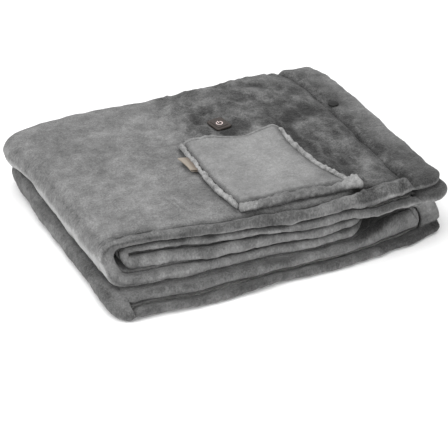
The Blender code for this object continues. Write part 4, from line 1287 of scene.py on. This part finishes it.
def make_throw(fleece):
    """The face, the lining and the hems."""
    face, reference = make_fleece("face_pile", (CORE_HALF, HALF_PLY), (FINE, COARSE, FINE * 2),
                                  FOLD_STEPS, FINE, FINE * 1.5, LOOSE)
    show(face, pile_and_painted_light_of(reference), fleece, "face_fleece")
    lining, reference = make_fleece("lining_pile", (-HALF_PLY, -CORE_HALF), (COARSE,) * 3,
                                    8, LOOSE, LOOSE, COARSE)
    show(lining, pile_and_painted_light_of(reference), fleece, "lining_fleece")
    for (hem, reference, shade), node in ((make_long_hem("long_hem_a_pile", 1), "long_hem_half_a"),
                                          (make_long_hem("long_hem_b_pile", -1), "long_hem_half_b"),
                                          (make_snap_hem(), "snap_end_hem"), (make_far_hem(), "far_end_hem")):
        tone, crush = pile_and_painted_light_of(reference)
        show(hem, (tone + shade, crush), fleece, node)
    return face


def make_pocket(fleece):
    """The pocket's panel, seams and hems."""
    panel, reference, edge = make_pocket_panel()
    show(panel, pocket_pile_and_painted_shade(reference, PANEL_NAP, edge, 0.0), fleece, "pocket_panel")
    down, across = np.linspace(0.0, 1.0, 150), np.linspace(0.0, 1.0, 130)
    left = pocket_tube("pocket_seam_left_pile", 0 * down, SEAM_START + 0.955 * down, PIPING, PIPING, 1.2)
    right = pocket_tube("pocket_seam_right_pile", 0 * down + 1, SEAM_START + 0.950 * down,
                        PIPING, PIPING, 1.5)
    front = pocket_tube("pocket_front_hem_pile", 1.04 * across - SEAM_START, 0 * across + 1,
                        *FRONT_TUBE, 1.8, TUFT)
    for (trim, reference, edge), node, tone, clumps in (
            (left, "pocket_seam_left", SEAM_NAP, 0.16), (right, "pocket_seam_right", SEAM_NAP, 0.22),
            (front, "pocket_front_hem", FRONT_HEM_NAP, 0.08),
            (make_mouth_hem(), "pocket_mouth_hem", PANEL_NAP, 0.03)):
        show(trim, pocket_pile_and_painted_shade(reference, tone, edge, clumps), fleece, node)
    back_left, back_right, _, front_left = pocket_corners()


def make_pocket_label():
    """The label in the pocket's left seam, with painted shadow over its part away from the fold, under the
    pocket's seam.
    """
    label, reference = make_label()
    low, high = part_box("loop_label")
    edge = low.x - LABEL_SHIFT[0]
    # painted shadow over the part away from the fold, under the pocket's seam
    tone = 0.80 - 0.50 * smooth(edge + 0.003, edge + 0.010, reference[:, 0])
    show(label, (tone, 1 + 0 * tone), ribbon("label_weave"), "loop_label")


def dress_frame():
    """Finishes for the CAD pieces that stay, and bent copies of the soft inner ones."""
    record = frame["record"]
    colours = {entry["slot"]: entry["base_color"] for entry in record["materials"]}
    made = {slot: plain_finish(slot, colours[slot]) for slot in FINISHES}
    for part in record["subparts"]:
        node, slot = part["node"], part["material_slot"]
        if slot in INNER_SLOTS:
            stand_for(make_inner(node), made[slot], node)
        elif slot in made:
            for place in frame["nodes"][node].material_slots:
                place.material = made[slot]


def main():
    """Build every visible piece round the frame."""
    make_stage()
    face = make_throw(plush("grey_plush", 1.7))
    make_pocket(plush("grey_plush_pocket", 1.5))
    make_pocket_label()
    dress_frame()


main()
